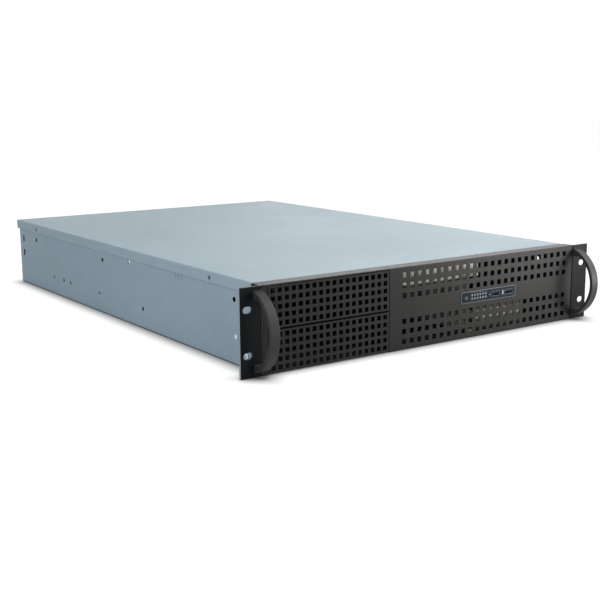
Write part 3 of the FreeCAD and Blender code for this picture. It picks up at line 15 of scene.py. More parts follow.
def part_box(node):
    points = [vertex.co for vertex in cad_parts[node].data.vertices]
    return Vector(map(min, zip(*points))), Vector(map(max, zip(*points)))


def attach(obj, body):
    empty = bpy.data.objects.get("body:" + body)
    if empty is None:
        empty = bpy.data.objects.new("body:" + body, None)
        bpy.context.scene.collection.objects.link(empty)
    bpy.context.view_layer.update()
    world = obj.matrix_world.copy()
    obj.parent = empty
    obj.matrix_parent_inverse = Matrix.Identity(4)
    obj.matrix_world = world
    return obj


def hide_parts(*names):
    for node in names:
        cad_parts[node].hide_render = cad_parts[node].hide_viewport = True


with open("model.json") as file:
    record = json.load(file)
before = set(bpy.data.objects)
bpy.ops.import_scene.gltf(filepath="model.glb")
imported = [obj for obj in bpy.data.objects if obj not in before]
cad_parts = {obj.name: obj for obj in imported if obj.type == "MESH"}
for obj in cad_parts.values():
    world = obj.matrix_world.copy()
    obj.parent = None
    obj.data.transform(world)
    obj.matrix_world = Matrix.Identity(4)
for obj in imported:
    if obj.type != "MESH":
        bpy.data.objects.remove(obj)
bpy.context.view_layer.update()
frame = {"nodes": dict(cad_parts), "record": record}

MM = 0.001

# ---------------------------------------------------------------- colours and finishes

# Linear red, green and blue. The tray's inside, the fan wall and the low bracket carry painted shade:
# they are darker than bare metal, to stand in for the shade behind the front's mesh.
ZINC = (0.355, 0.43, 0.475)
ZINC_WORN = (0.56, 0.61, 0.63)
ZINC_DARK = (0.24, 0.30, 0.34)
TRAY_ZINC = (0.325, 0.40, 0.45)
TRAY_INSIDE_SHADE = (0.034, 0.040, 0.046)
SHADED_ZINC = (0.10, 0.115, 0.125)
GALVANISED = (0.80, 0.78, 0.70)
GALVANISED_WORN = (0.95, 0.94, 0.88)
GALVANISED_DARK = (0.20, 0.19, 0.165)
# The low bracket's colours: its dark one gives both the specks and the painted shade outside its lit band.
DIM_TAN = (0.62, 0.57, 0.44)
DIM_TAN_WORN = (0.80, 0.76, 0.62)
DIM_TAN_SPECK_AND_SHADE = (0.075, 0.070, 0.060)
BLACK_COAT = (0.0125, 0.0120, 0.0118)
BLACK_COAT_WORN = (0.060, 0.057, 0.054)
BLACK_EAR = (0.0055, 0.006, 0.0065)
# The ears' edge wear, and the painted reflection on their side faces.
EAR_WEAR_AND_REFLECTION = (0.30, 0.33, 0.36)
HANDLE_BLACK = (0.024, 0.024, 0.025)
PRINT_WHITE = (0.26, 0.30, 0.34)
SCREW_ZINC = (0.60, 0.61, 0.60)
DULL_SCREW = (0.20, 0.24, 0.27)
BRASS = (0.60, 0.42, 0.16)
BEZEL = (0.0085, 0.0115, 0.0155)
BEZEL_RIM = (0.15, 0.19, 0.23)
BUTTON = (0.006, 0.009, 0.013)
SWITCH = (0.020, 0.020, 0.021)
LENS = (0.17, 0.20, 0.23)
BOARD = (0.012, 0.090, 0.042)
SOCKET_STEEL = (0.10, 0.115, 0.13)
SOCKET_BLUE = (0.005, 0.018, 0.050)

ZINC_METALLIC = 0.08
ZINC_ROUGHNESS = 0.54
ZINC_SHEEN = 0.16
EDGE_TURN = 0.35  # how far a bevel has to turn the normal for a full edge
TRAY_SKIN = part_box("base_tray")[1][0] - 0.2 * MM
TRAY_UNDER_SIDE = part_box("base_tray")[0][2] + 0.2 * MM
BEZEL_RIM_WIDTH = 0.45 * MM
LIP_BAND = (-26.0 * MM, 4.5 * MM)  # middle height and half width of the low bracket's lit band; painted shade darkens it outside
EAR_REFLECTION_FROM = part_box("ear_bracket_right")[1][0] - 0.3 * MM  # beyond it the ear's side face takes a painted reflection of the white floor


class Finish:
    """A node material under construction: short calls that add and link shader nodes."""

    def __init__(self, name, colour, roughness, metallic=0.0, **sockets):
        self.material = bpy.data.materials.new(name)
        self.material.use_nodes = True
        self.tree = self.material.node_tree
        self.shader = self.tree.nodes["Principled BSDF"]
        self.shader.inputs["Base Color"].default_value = (*colour, 1)
        self.shader.inputs["Roughness"].default_value = roughness
        self.shader.inputs["Metallic"].default_value = metallic
        for socket, value in sockets.items():
            self.shader.inputs[socket.replace("_", " ")].default_value = value
        self.place = self.add("ShaderNodeTexCoord").outputs["Object"]

    def add(self, kind, **settings):
        node = self.tree.nodes.new(kind)
        for name, value in settings.items():
            setattr(node, name, value)
        return node

    def link(self, source, target):
        self.tree.links.new(source, target)

    def stretched(self, scale, turn=(0, 0, 0)):
        """Object coordinates in metres, turned and then scaled along each axis."""
        mapping = self.add("ShaderNodeMapping")
        self.link(self.place, mapping.inputs["Vector"])
        mapping.inputs["Scale"].default_value = scale
        mapping.inputs["Rotation"].default_value = turn
        return mapping.outputs["Vector"]

    def noise(self, scale, detail=3.0, roughness=0.55, where=None):
        """Fractal noise with the given number of waves in a metre."""
        node = self.add("ShaderNodeTexNoise")
        node.inputs["Scale"].default_value = scale
        node.inputs["Detail"].default_value = detail
        node.inputs["Roughness"].default_value = roughness
        self.link(where or self.place, node.inputs["Vector"])
        return node.outputs["Fac"]

    def cells(self, scale, **settings):
        """Voronoi cells, with the given number of them in a metre."""
        node = self.add("ShaderNodeTexVoronoi", **settings)
        node.inputs["Scale"].default_value = scale
        self.link(self.place, node.inputs["Vector"])
        return node.outputs["Distance"]

    def span(self, value, low, high, to_low=0.0, to_high=1.0):
        """Map a value's range on to another, held at its ends."""
        node = self.add("ShaderNodeMapRange")
        self.link(value, node.inputs["Value"])
        node.inputs["From Min"].default_value = low
        node.inputs["From Max"].default_value = high
        node.inputs["To Min"].default_value = to_low
        node.inputs["To Max"].default_value = to_high
        return node.outputs["Result"]

    def maths(self, operation, first, second=None):
        """One sum of sockets or plain numbers."""
        node = self.add("ShaderNodeMath", operation=operation)
        for socket, value in zip(node.inputs, (first, second)):
            if value is None:
                continue
            if isinstance(value, (int, float)):
                socket.default_value = value
            else:
                self.link(value, socket)
        return node.outputs["Value"]

    def mix(self, factor, first, second):
        """The first colour where the factor is 0, the second where it is 1."""
        node = self.add("ShaderNodeMix", data_type="RGBA")
        self.link(factor, node.inputs["Factor"])
        for name, value in (("A", first), ("B", second)):
            socket = [entry for entry in node.inputs if entry.name == name and entry.type == "RGBA"][0]
            if isinstance(value, tuple):
                socket.default_value = (*value, 1)
            else:
                self.link(value, socket)
        return [entry for entry in node.outputs if entry.type == "RGBA"][0]

    def axis(self, number):
        """One Object coordinate, in metres."""
        parts = self.add("ShaderNodeSeparateXYZ")
        self.link(self.place, parts.inputs["Vector"])
        return parts.outputs[number]

    def within(self, half_width, floor_top):
        """1 inside the tray, between its walls' outer skins and over its floor's under side."""
        side = self.maths("LESS_THAN", self.maths("ABSOLUTE", self.axis(0)), half_width)
        return self.maths("MULTIPLY", side, self.maths("GREATER_THAN", self.axis(2), floor_top))

    def border(self, box, width):
        """1 within a width of a box's outline, as seen from the front."""
        sides = []
        for number in (0, 2):
            middle, half = (box[0][number] + box[1][number]) / 2, (box[1][number] - box[0][number]) / 2
            offset = self.maths("ABSOLUTE", self.maths("SUBTRACT", self.axis(number), middle))
            sides.append(self.maths("GREATER_THAN", offset, half - width))
        return self.maths("MAXIMUM", *sides)

    def edge_mask(self, radius):
        """1 on a piece's edges and corners, 0 on its flats, from how far a bevel turns the normal."""
        rounded = self.soft_edges(radius)
        plain = self.add("ShaderNodeNewGeometry")
        turned = self.add("ShaderNodeVectorMath", operation="DOT_PRODUCT")
        self.link(rounded, turned.inputs[0])
        self.link(plain.outputs["Normal"], turned.inputs[1])
        return self.span(turned.outputs["Value"], 1.0, 1.0 - EDGE_TURN)

    def soft_edges(self, radius):
        """The normal with every edge rounded to a radius."""
        bevel = self.add("ShaderNodeBevel", samples=6)
        bevel.inputs["Radius"].default_value = radius
        return bevel.outputs["Normal"]

    def bump(self, height, strength, distance, normal):
        """The normal tilted by a height's slope."""
        node = self.add("ShaderNodeBump")
        node.inputs["Strength"].default_value = strength
        node.inputs["Distance"].default_value = distance
        self.link(height, node.inputs["Height"])
        self.link(normal, node.inputs["Normal"])
        return node.outputs["Normal"]

    def finish(self, colour, roughness, normal):
        for name, value in (("Base Color", colour), ("Roughness", roughness), ("Normal", normal)):
            self.link(value, self.shader.inputs[name])
        return self.material


def zinc_sheet(name, colour, worn, dark, inside=None):
    """Plated sheet: fine rolling grain, faint cloudy plating, small marks and bright bare edges.

    A painted shade colour for the inside goes on the tray's inner faces.
    """
    look = Finish(name, colour, ZINC_ROUGHNESS, ZINC_METALLIC, Specular_IOR_Level=ZINC_SHEEN)
    grain = look.noise(1.0, 2.0, 0.5, look.stretched((900.0, 14.0, 900.0)))
    clouds = look.noise(7.0, 4.0, 0.6)
    fine_clouds = look.noise(60.0, 3.0, 0.6)
    edges = look.edge_mask(0.5 * MM)
    patchy = look.span(look.noise(90.0, 2.0), 0.35, 0.65)
    wear = look.maths("MULTIPLY", edges, patchy)
    tone = look.mix(look.span(clouds, 0.30, 0.75, 0.0, 0.22), colour, dark)
    tone = look.mix(look.span(fine_clouds, 0.35, 0.8, 0.0, 0.10), tone, worn)
    tone = look.mix(look.maths("MULTIPLY", wear, 0.55), tone, worn)
    scratches = look.noise(1.0, 1.0, 0.4, look.stretched((1400.0, 22.0, 700.0), (0.3, 0.2, 0.9)))
    scratch_mask = look.span(scratches, 0.74, 0.80, 0.0, 0.16)
    tone = look.mix(scratch_mask, tone, worn)
    if inside:
        # painted shade: the tray's inner faces take the dark inside colour
        tone = look.mix(look.within(TRAY_SKIN, TRAY_UNDER_SIDE), tone, inside)
    grain_gloss = look.span(grain, 0.3, 0.7, ZINC_ROUGHNESS - 0.04, ZINC_ROUGHNESS + 0.05)
    gloss = look.maths("ADD", grain_gloss, look.span(clouds, 0.3, 0.7, -0.03, 0.04))
    normal = look.bump(grain, 0.10, 0.03 * MM, look.soft_edges(0.35 * MM))
    return look.finish(tone, gloss, normal)


def galvanised(name, colour, worn, dark, lit_band=None):
    """Hot-dipped sheet of the inner brackets: pale spangle with darker, duller specks.

    With a lit band, given as its middle height and half width, only that band stays pale, and the rest is
    painted shade in the dark colour.
    """
    look = Finish(name, colour, 0.38, 0.25)
    crystals = look.cells(170.0)
    fine = look.noise(600.0, 3.0, 0.6)
    tone = look.mix(look.span(crystals, 0.15, 0.75), worn, colour)
    speck = look.noise(75.0, 3.0, 0.6)
    tone = look.mix(look.span(speck, 0.46, 0.62, 0.0, 0.85), tone, dark)
    tone = look.mix(look.maths("MULTIPLY", look.edge_mask(0.5 * MM), 0.5), tone, worn)
    # painted shade: outside the lit band the tone goes to the dark colour
    if lit_band:
        middle, half = lit_band
        away = look.maths("ABSOLUTE", look.maths("SUBTRACT", look.axis(2), middle))
        tone = look.mix(look.span(away, half, half * 1.2, 0.0, 0.85), tone, dark)
    gloss = look.span(speck, 0.3, 0.7, 0.30, 0.48)
    normal = look.bump(fine, 0.15, 0.03 * MM, look.soft_edges(0.35 * MM))
    return look.finish(tone, gloss, normal)


def powder_coat(name, colour, worn, rough=0.40, texture=1.0, sheen=0.36, edge=0.6, reflection_from=None):
    """Black powder coat: fine orange peel, matt with soft highlights, greyer where it is rubbed.

    Beyond the distance reflection_from, from the case's middle, the worn colour goes on as a painted
    reflection of the white floor on the ear's side face.
    """
    look = Finish(name, colour, rough, 0.0, Specular_IOR_Level=sheen)
    peel = look.noise(1500.0, 2.0, 0.5)
    coarse = look.noise(420.0, 2.0, 0.5)
    clouds = look.noise(11.0, 4.0, 0.6)
    edges = look.edge_mask(0.4 * MM)
    patchy = look.span(look.noise(140.0, 3.0), 0.2, 0.6)
    rubbed = tuple(min(1.0, part * 1.4) for part in colour)
    tone = look.mix(look.span(clouds, 0.35, 0.75, 0.0, 0.6), colour, rubbed)
    tone = look.mix(look.maths("MULTIPLY", look.maths("MULTIPLY", edges, patchy), edge), tone, worn)
    # painted reflection: beyond reflection_from the side face takes the worn colour, pale as the white floor
    # it mirrors
    if reflection_from:
        bare = look.maths("GREATER_THAN", look.maths("ABSOLUTE", look.axis(0)), reflection_from)
        tone = look.mix(bare, tone, worn)
    gloss = look.span(coarse, 0.3, 0.7, rough - 0.06, rough + 0.06)
    height = look.maths("ADD", peel, coarse)
    normal = look.bump(height, 0.22 * texture, 0.04 * MM, look.soft_edges(0.3 * MM))
    return look.finish(tone, gloss, normal)


def moulded_plastic(name, colour, rough, edge=None, frame_box=None, **sockets):
    """Injection-moulded plastic: fine spark-eroded texture, a trace of handling, a paler rim round a box."""
    look = Finish(name, colour, rough, 0.0, **sockets)
    texture = look.noise(2600.0, 2.0, 0.5)
    clouds = look.noise(60.0, 3.0, 0.6)
    paler = tuple(min(1.0, part * 1.5 + 0.01) for part in colour)
    tone = look.mix(look.span(clouds, 0.3, 0.8, 0.0, 0.35), colour, paler)
    tone = look.mix(look.maths("MULTIPLY", look.edge_mask(0.25 * MM), 0.5), tone, edge or paler)
    if frame_box:
        tone = look.mix(look.border(frame_box, BEZEL_RIM_WIDTH), tone, edge)
    gloss = look.span(clouds, 0.3, 0.7, rough - 0.06, rough + 0.06)
    normal = look.bump(texture, 0.25, 0.03 * MM, look.soft_edges(0.2 * MM))
    return look.finish(tone, gloss, normal)


def turned_metal(name, colour, rough, metallic=1.0):
    """Small plated or turned hardware, with fine tool marks and brighter edges."""
    look = Finish(name, colour, rough, metallic)
    marks = look.noise(1900.0, 2.0, 0.5)
    clouds = look.noise(300.0, 3.0, 0.6)
    paler = tuple(min(1.0, part * 1.25 + 0.04) for part in colour)
    darker = tuple(part * 0.65 for part in colour)
    tone = look.mix(look.span(clouds, 0.3, 0.75, 0.0, 0.5), colour, darker)
    tone = look.mix(look.edge_mask(0.2 * MM), tone, paler)
    gloss = look.span(marks, 0.3, 0.7, rough - 0.05, rough + 0.10)
    normal = look.bump(marks, 0.2, 0.02 * MM, look.soft_edges(0.15 * MM))
    return look.finish(tone, gloss, normal)


def circuit_board(name, colour):
    """Solder-masked laminate with the tracks showing faintly under the mask."""
    look = Finish(name, colour, 0.35, 0.0)
    tracks = look.cells(420.0, distance="CHEBYCHEV")
    paler = tuple(part * 1.9 + 0.01 for part in colour)
    tone = look.mix(look.span(tracks, 0.18, 0.24, 0.0, 0.8), paler, colour)
    normal = look.bump(tracks, 0.15, 0.04 * MM, look.soft_edges(0.15 * MM))
    return look.finish(tone, look.span(look.noise(500.0), 0.3, 0.7, 0.28, 0.42), normal)


def light_pipe(name, colour):
    """Moulded light pipes, unlit and frosted."""
    look = Finish(name, colour, 0.25, 0.0)
    frost = look.noise(3000.0, 2.0, 0.6)
    tone = look.mix(look.span(frost, 0.3, 0.7, 0.0, 0.3), colour, (0.42, 0.46, 0.48))
    normal = look.bump(frost, 0.2, 0.02 * MM, look.soft_edges(0.2 * MM))
    return look.finish(tone, look.span(frost, 0.3, 0.7, 0.2, 0.35), normal)


FINISHES = {
    "zinc_sheet": zinc_sheet("zinc_plated_sheet", ZINC, ZINC_WORN, ZINC_DARK),
    "tray_zinc": zinc_sheet("zinc_plated_tray", TRAY_ZINC, ZINC_WORN, ZINC_DARK, inside=TRAY_INSIDE_SHADE),
    "shaded_zinc": zinc_sheet("zinc_plated_shaded_inner", SHADED_ZINC, ZINC_DARK, TRAY_INSIDE_SHADE),
    "dim_bracket": galvanised("galvanised_bracket_shaded", DIM_TAN, DIM_TAN_WORN, DIM_TAN_SPECK_AND_SHADE, LIP_BAND),
    "inner_zinc": galvanised("galvanised_bracket", GALVANISED, GALVANISED_WORN, GALVANISED_DARK),
    "black_powder_coat": powder_coat("black_powder_coat", BLACK_COAT, BLACK_COAT_WORN, 0.42, 0.5, 0.13, 0.35),
    "black_ear": powder_coat("black_ear", BLACK_EAR, EAR_WEAR_AND_REFLECTION, 0.34, 0.35, 0.07, 0.6, EAR_REFLECTION_FROM),
    "black_handle": powder_coat("black_handle", HANDLE_BLACK, BLACK_COAT_WORN, 0.46, 0.12, 0.19, 0.4),
    "black_screw": powder_coat("black_screw", HANDLE_BLACK, BLACK_COAT_WORN, 0.35, 0.4),
    "zinc_screw": turned_metal("zinc_screw", SCREW_ZINC, 0.32),
    "dull_screw": turned_metal("dull_screw", DULL_SCREW, 0.50, 0.5),
    "brass": turned_metal("turned_brass", BRASS, 0.28),
    "bezel_plastic": moulded_plastic(
        "bezel_plastic", BEZEL, 0.45, BEZEL_RIM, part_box("io_bezel"), Specular_IOR_Level=0.07
    ),
    "button_plastic": moulded_plastic("button_plastic", BUTTON, 0.50, Specular_IOR_Level=0.07),
    "switch_plastic": moulded_plastic("switch_plastic", SWITCH, 0.45),
    "clear_lens": light_pipe("light_pipe", LENS),
    "circuit_board": circuit_board("circuit_board", BOARD),
    "socket_metal": turned_metal("socket_steel", SOCKET_STEEL, 0.42, 0.6),
    "socket_plastic": moulded_plastic("socket_plastic", SOCKET_BLUE, 0.50, Specular_IOR_Level=0.10),
    "white_print": moulded_plastic("white_print", PRINT_WHITE, 0.6),
}
NODE_FINISHES = {
    "base_tray": "tray_zinc",
    "hdd_cage": "inner_zinc",
    "ssd_bracket": "dim_bracket",
    "fan_wall": "shaded_zinc",
    "ear_bracket_left": "black_ear",
    "ear_bracket_right": "black_ear",
}
SLOT_OF_NODE = {entry["node"]: entry["material_slot"] for entry in frame["record"]["subparts"]}


def dress_frame():
    """Give every node of the frame its own finish, or else that of its material slot."""
    for name, thing in frame["nodes"].items():
        thing.data.materials.clear()
        thing.data.materials.append(FINISHES[NODE_FINISHES.get(name, SLOT_OF_NODE[name])])


dress_frame()

# ---------------------------------------------------------------- turned screws

RING_STEPS = 48
# Each group of screws: axis of the shank, side of the head (0: away from the middle), height of the
# head, diameter of the thread, how much the head domes, finish and body.
SCREWS = {
    "ear_screws": ("x", 0, 1.0, 4.0, 0.10, "black_screw", "case"),
    "handle_screws": ("y", 1, 0.9, 3.0, 0.10, "black_screw", "case"),
    "lid_screws": ("x", 0, 0.9, 3.0, 0.35, "dull_screw", "lid"),
    "bay_screw": ("x", 0, 1.8, 3.0, 0.30, "zinc_screw", "case"),
    "hdd_cage_screws": ("z", 1, 1.8, 3.0, 0.30, "zinc_screw", "case"),
    "ssd_bracket_screws": ("z", 1, 1.8, 3.0, 0.30, "zinc_screw", "case"),
    "fan_wall_screws": ("z", 1, 1.8, 3.0, 0.30, "zinc_screw", "case"),
    "slot_screws": ("z", 1, 1.8, 3.0, 0.30, "zinc_screw", "case"),
    "io_board_screws": ("y", 1, 1.6, 2.5, 0.30, "zinc_screw", "case"),
}
THREAD_PITCH = 0.5 * MM
THREAD_DEPTH = 0.15 * MM
SCREW_REACH = 9 * MM
CROWN_RINGS = 17
CROWN_EDGE = 0.96  # where the crown ends and the rim starts, in shares of the head's radius
RIM_HEIGHTS = (0.93, 0.5, 0.06, 0.0)  # in shares of the crown's lowest height
RIM_RADII = (1.0, 1.0, 1.0, 0.97)
SHANK_RINGS = 28
TIP_LENGTH = 0.3 * MM
TIP_TAPER = 0.72
CROSS_DEPTH = 0.6  # in shares of the head's height
CROSS_ARM = (0.08, 0.14)  # half width of an arm at its floor and at its brink, in shares of the head's radius
CROSS_END = (0.46, 0.56)  # the same for an arm's length
SMOOTH_ANGLE = math.radians(38)


def solid_boxes(name, reach):
    """The box of each separate solid in a node, as groups of vertices within reach of one another."""
    mesh = frame["nodes"][name].data
    points = np.empty(len(mesh.vertices) * 3, np.float32)
    mesh.vertices.foreach_get("co", points)
    points = points.reshape(-1, 3).astype(float)
    boxes = []
    while len(points):
        close = np.linalg.norm(points - points[0], axis=1) < reach
        boxes.append((points[close].min(axis=0), points[close].max(axis=0)))
        points = points[~close]
    return boxes


def smooth_step(value, low, high):
    """0 below low and 1 above high, with the cubic 3t^2 - 2t^3 between them."""
    part = np.clip((value - low) / (high - low), 0.0, 1.0)
    return part * part * (3.0 - 2.0 * part)


def screw_surface(length, head_radius, head_height, thread_radius, dome):
    """Points of a screw on a grid: rings along its outline by steps round its axis, head upwards.

    With r in shares of the head's radius, the crown's height is head_height * (1 - dome * r^2), less a
    cross: four arms where the smaller of |x| and |y| is within CROSS_ARM, out to CROSS_END. The shank's
    radius is thread_radius - THREAD_DEPTH * (1 + cos(2 pi z / THREAD_PITCH - angle)) / 2, which is a
    single-start thread.
    """
    turn = np.linspace(0.0, 2.0 * np.pi, RING_STEPS, endpoint=False)
    crown = np.linspace(0.0, CROWN_EDGE, CROWN_RINGS)
    crown_radius = head_radius * crown
    crown_height = head_height * (1.0 - dome * crown**2)
    rim_height = crown_height[-1] * np.array(RIM_HEIGHTS)
    rim_radius = head_radius * np.array(RIM_RADII)
    shank_height = -np.linspace(0.0, length - head_height - TIP_LENGTH, SHANK_RINGS)
    shank_radius = np.full(shank_height.shape, thread_radius)
    tip_radius = np.array([thread_radius * TIP_TAPER, 0.0])
    tip_height = np.array([head_height - length, head_height - length])
    radius = np.concatenate([crown_radius, rim_radius, shank_radius, tip_radius])[:, None]
    height = np.concatenate([crown_height, rim_height, shank_height, tip_height])[:, None]
    first, last = len(crown) + len(rim_height), len(radius) - len(tip_radius)
    wave = 0.5 + 0.5 * np.cos(2.0 * np.pi * height[first:last] / THREAD_PITCH - turn)
    full_radius = np.repeat(radius, RING_STEPS, axis=1)
    full_radius[first:last] -= THREAD_DEPTH * wave
    across, up = full_radius * np.cos(turn), full_radius * np.sin(turn)
    arms = 1.0 - smooth_step(np.minimum(abs(across), abs(up)), *(part * head_radius for part in CROSS_ARM))
    reach = 1.0 - smooth_step(full_radius, *(part * head_radius for part in CROSS_END))
    sunk = np.repeat(height, RING_STEPS, axis=1)
    sunk[: len(crown)] -= (CROSS_DEPTH * head_height * arms * reach)[: len(crown)]
    return np.stack([across, up, sunk], axis=-1)


def closed_turning(name, grids):
    """One mesh from turned grids: quads round every ring, with the rings on the axis merged to points."""
    grids = np.asarray(grids)
    index = np.arange(grids[..., 0].size).reshape(grids.shape[:-1])
    following = np.roll(index, -1, axis=2)
    corners = (index[:, :-1], index[:, 1:], following[:, 1:], following[:, :-1])
    quads = np.stack(corners, axis=-1).reshape(-1, 4)
    mesh = bpy.data.meshes.new(name)
    mesh.from_pydata(grids.reshape(-1, 3).tolist(), [], quads.tolist())
    shape = bmesh.new()
    shape.from_mesh(mesh)
    bmesh.ops.remove_doubles(shape, verts=shape.verts, dist=1e-6)
    bmesh.ops.recalc_face_normals(shape, faces=shape.faces)
    shape.to_mesh(mesh)
    shape.free()
    mesh.polygons.foreach_set("use_smooth", np.ones(len(mesh.polygons), bool))
    mesh.set_sharp_from_angle(angle=SMOOTH_ANGLE)
    thing = bpy.data.objects.new(name, mesh)
    bpy.context.collection.objects.link(thing)
    return thing


def make_screws(node):
    """Domed, cross-recessed and threaded screws in place of a node's plain ones."""
    axis, head_side, head_height, thread, dome, slot, body = SCREWS[node]
    along = "xyz".index(axis)
    grids = []
    for low, high in solid_boxes(node, SCREW_REACH):
        middle = (low + high) / 2
        side = head_side or math.copysign(1, middle[along])
        length = high[along] - low[along]
        head_radius = (high - low)[(along + 1) % 3] / 2
        seat = middle.copy()
        seat[along] = (high[along] if side > 0 else low[along]) - side * head_height * MM
        own = screw_surface(length, head_radius, head_height * MM, thread * MM / 2, dome)
        out, right = np.zeros(3), np.zeros(3)
        out[along], right[(along + 1) % 3] = side, 1.0
        frame_of_screw = np.stack([right, np.cross(out, right), out])
        grids.append(seat + own @ frame_of_screw)
    thing = closed_turning(node + "_cross", grids)
    thing.data.materials.append(FINISHES[slot])
    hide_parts(node)
    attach(thing, body)


for screw_node in SCREWS:
    make_screws(screw_node)

# ---------------------------------------------------------------- printed marks of the front module

PRINT_LIFT = 0.02 * MM
PRINT_WIDTH = 0.32 * MM
ARC_POINTS = 24
LINE_POINTS = 4
POWER_RADIUS = 1.55 * MM
POWER_GAP = 0.11  # from the top to each end of the open ring, in turns
POWER_STROKE = (1.15, 0.25)  # top and foot of the stroke, in shares of the ring's radius
RESET_RADIUS = 0.9 * MM
RESET_GAP = 0.08
LENS_REACH = 2.6 * MM
TICK_INSET = 0.3 * MM


def ribbon(path):
    """Points on both sides of a flat path that faces the front.

    They are the path plus and minus half of PRINT_WIDTH along its own normal, which is its direction
    turned a quarter in the plane across and up.
    """
    step = np.gradient(path, axis=0)
    step /= np.linalg.norm(step, axis=1, keepdims=True)
    aside = np.stack([-step[:, 1], step[:, 0]], axis=1) * PRINT_WIDTH / 2
    return np.stack([path + aside, path - aside], axis=1)


def arc_path(middle, radius, gap):
    """A ring open at its top: x = radius * sin(angle), z = radius * cos(angle), from gap to 1 - gap turns."""
    turn = 2.0 * np.pi * np.linspace(gap, 1.0 - gap, ARC_POINTS)
    return np.stack([middle[0] + radius * np.sin(turn), middle[1] + radius * np.cos(turn)], axis=1)


def line_path(start, end):
    return np.linspace(start, end, LINE_POINTS)


def print_marks(name, paths, depth, body):
    """Flat printed strokes on a face that looks to the front, as one mesh."""
    points, faces = [], []
    for path in paths:
        strip = ribbon(path)
        base = len(points)
        count = len(strip)
        own = np.full((count, 2, 3), depth)
        own[..., 0], own[..., 2] = strip[..., 0], strip[..., 1]
        points.extend(own.reshape(-1, 3).tolist())
        index = base + np.arange(count * 2).reshape(count, 2)
        faces.extend(np.stack([index[:-1, 0], index[1:, 0], index[1:, 1], index[:-1, 1]], axis=1).tolist())
    mesh = bpy.data.meshes.new(name)
    mesh.from_pydata(points, [], faces)
    if mesh.polygons[0].normal.y > 0:
        mesh.flip_normals()
    mesh.materials.append(FINISHES["white_print"])
    thing = bpy.data.objects.new(name, mesh)
    bpy.context.collection.objects.link(thing)
    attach(thing, body)


def face_of(node):
    """Middle of a node's front face across and up, and the depth of a print on it."""
    low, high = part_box(node)
    return np.array([(low[0] + high[0]) / 2, (low[2] + high[2]) / 2]), low[1] - PRINT_LIFT


def make_marks():
    """A stroke in an open ring on the power button, a smaller open ring on reset, ticks over the lights."""
    middle, depth = face_of("power_button")
    top, foot = (middle + (0, POWER_RADIUS * share) for share in POWER_STROKE)
    ring = arc_path(middle, POWER_RADIUS, POWER_GAP)
    print_marks("power_mark", [ring, line_path(top, foot)], depth, "power_button")
    middle, depth = face_of("reset_button")
    print_marks("reset_mark", [arc_path(middle, RESET_RADIUS, RESET_GAP)], depth, "reset_button")
    up = (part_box("io_bezel")[1][2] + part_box("led_lenses")[1][2]) / 2
    ticks = []
    for low, high in solid_boxes("led_lenses", LENS_REACH)[::2]:
        ticks.append(line_path((low[0] + TICK_INSET, up), (high[0] - TICK_INSET, up)))
    print_marks("light_marks", ticks, face_of("io_bezel")[1], "case")


make_marks()

# ---------------------------------------------------------------- studio

FLOOR_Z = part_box("base_tray")[0][2]
FLOOR_HALF = 9.0
FLOOR_COLOUR = (0.50, 0.50, 0.50)  # what its bounced light has
FLOOR_SHOWN = (0.15, 0.148, 0.145)  # what shows of it under its glow
FLOOR_GLOW = 0.94  # keeps the sheet white where nothing is near it
CONTACT_REACH = 22 * MM
CONTACT_DARKEST = 0.40  # openness at which the glow is out
WORLD_LEVEL = 0.36
WORLD_COLOUR = (0.93, 0.97, 1.0)
# Name, place, target, size, power in watts and colour of each soft lamp.
LAMPS = (
    ("key", (1.15, -0.55, 1.15), (0.1, 0.05, 0), (1.5, 1.5), 27, (1.0, 0.985, 0.96)),
    ("rear_card", (2.4, 2.0, 0.95), (0.1, 0.2, 0), (2.6, 1.6), 18, (1.0, 1.0, 1.0)),
    ("left_fill", (-1.55, -0.55, 0.72), (-0.2, 0.12, 0), (1.1, 1.1), 12.6, (0.76, 0.89, 1.0)),
    ("mesh_fill", (-0.55, -1.5, 0.42), (0.1, 0, 0), (0.35, 0.35), 4.0, (1.0, 0.985, 0.95)),
    ("front_right", (0.50, -0.40, 0.06), (0.20, 0, 0), (0.2, 0.2), 2.8, (1.0, 0.985, 0.93)),
)


def backdrop_rays(tree):
    """1 for the rays that show the backdrop: to the camera, mirrored in metal or seen through a lens."""
    path = tree.nodes.new("ShaderNodeLightPath")
    total = path.outputs["Is Camera Ray"]
    for name in ("Is Glossy Ray", "Is Transmission Ray"):
        either = tree.nodes.new("ShaderNodeMath")
        either.operation = "MAXIMUM"
        tree.links.new(total, either.inputs[0])
        tree.links.new(path.outputs[name], either.inputs[1])
        total = either.outputs["Value"]
    return total


def make_floor():
    """A white sheet under the case. It glows for the rays that show it, but not close under the case.

    The glow falls off where something stands within CONTACT_REACH, which paints the dark line of contact: a
    painted contact shadow.
    """
    look = Finish("floor_paper", FLOOR_COLOUR, 1.0, Specular_IOR_Level=0.0, Emission_Color=(1, 1, 1, 1))
    shown_rays = backdrop_rays(look.tree)
    near = look.add("ShaderNodeAmbientOcclusion", samples=16)
    near.inputs["Distance"].default_value = CONTACT_REACH
    glow = look.span(near.outputs["AO"], CONTACT_DARKEST, 1.0, 0.0, FLOOR_GLOW)
    look.link(look.maths("MULTIPLY", glow, shown_rays), look.shader.inputs["Emission Strength"])
    look.link(look.mix(shown_rays, FLOOR_COLOUR, FLOOR_SHOWN), look.shader.inputs["Base Color"])
    mesh = bpy.data.meshes.new("floor")
    corners = [(x * FLOOR_HALF, y * FLOOR_HALF, FLOOR_Z) for x, y in ((-1, -1), (1, -1), (1, 1), (-1, 1))]
    mesh.from_pydata(corners, [], [(0, 1, 2, 3)])
    mesh.materials.append(look.material)
    floor = bpy.data.objects.new("floor", mesh)
    bpy.context.collection.objects.link(floor)


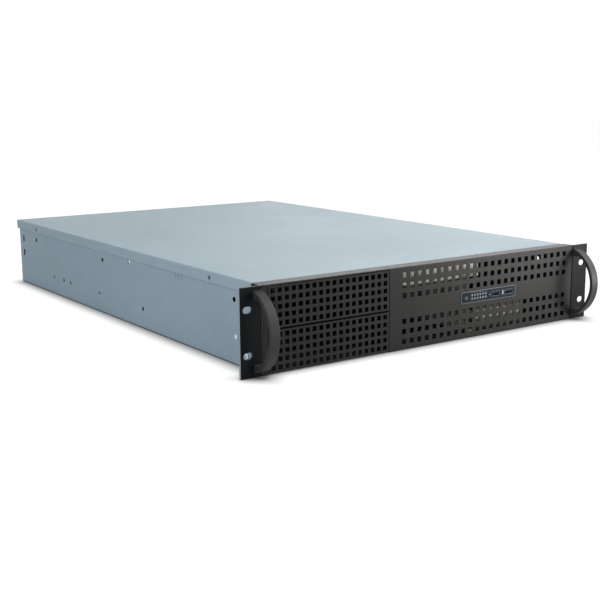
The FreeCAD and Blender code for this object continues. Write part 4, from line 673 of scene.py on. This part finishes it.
def make_lamp(name, place, target, size, power, colour):
    """A rectangular soft lamp that faces its target."""
    data = bpy.data.lights.new(name, "AREA")
    data.shape = "RECTANGLE"
    data.size, data.size_y = size
    data.energy = power
    data.color = colour
    lamp = bpy.data.objects.new(name, data)
    bpy.context.collection.objects.link(lamp)
    facing = (Vector(target) - Vector(place)).to_track_quat("-Z", "Y")
    lamp.matrix_world = Matrix.Translation(Vector(place)) @ facing.to_matrix().to_4x4()


def make_world():
    """An even world that lights the case, and is plain white where it is seen."""
    world = bpy.data.worlds.new("studio")
    bpy.context.scene.world = world
    world.use_nodes = True
    tree = world.node_tree
    output = tree.nodes["World Output"]
    lighting = tree.nodes["Background"]
    lighting.inputs["Color"].default_value = (*WORLD_COLOUR, 1)
    lighting.inputs["Strength"].default_value = WORLD_LEVEL
    shown = tree.nodes.new("ShaderNodeBackground")
    shown.inputs["Color"].default_value = (1, 1, 1, 1)
    choice = tree.nodes.new("ShaderNodeMixShader")
    tree.links.new(backdrop_rays(tree), choice.inputs["Fac"])
    tree.links.new(lighting.outputs["Background"], choice.inputs[1])
    tree.links.new(shown.outputs["Background"], choice.inputs[2])
    tree.links.new(choice.outputs["Shader"], output.inputs["Surface"])


make_floor()
make_world()
for lamp_settings in LAMPS:
    make_lamp(*lamp_settings)

# ---------------------------------------------------------------- camera

CAMERA_PLACE = (-0.7389, -0.8227, 0.2232)
CAMERA_AZIMUTH = math.radians(35.35)
CAMERA_ELEVATION = math.radians(11.17)
CAMERA_ROLL = math.radians(-0.29)
CAMERA_LENS = 63.21  # millimetres, like the sensor's width
SENSOR_WIDTH = 36.0
CAMERA_SHIFT = (-0.0225, -0.0025)  # in shares of the view's width


def make_camera():
    """The camera at its place: azimuth from +Y towards +X, elevation down from level, then its roll."""
    look = Vector(
        (
            math.sin(CAMERA_AZIMUTH) * math.cos(CAMERA_ELEVATION),
            math.cos(CAMERA_AZIMUTH) * math.cos(CAMERA_ELEVATION),
            -math.sin(CAMERA_ELEVATION),
        )
    )
    right = look.cross(Vector((0, 0, 1))).normalized()
    up = right.cross(look)
    rolled_right = right * math.cos(CAMERA_ROLL) + up * math.sin(CAMERA_ROLL)
    rolled_up = up * math.cos(CAMERA_ROLL) - right * math.sin(CAMERA_ROLL)
    data = bpy.data.cameras.new("camera")
    data.sensor_width = SENSOR_WIDTH
    data.lens = CAMERA_LENS
    data.shift_x, data.shift_y = CAMERA_SHIFT
    camera = bpy.data.objects.new("camera", data)
    bpy.context.collection.objects.link(camera)
    turned = Matrix((rolled_right, rolled_up, -look)).transposed().to_4x4()
    camera.matrix_world = Matrix.Translation(Vector(CAMERA_PLACE)) @ turned
    bpy.context.scene.camera = camera


make_camera()
bpy.context.scene.view_settings.view_transform = "Standard"
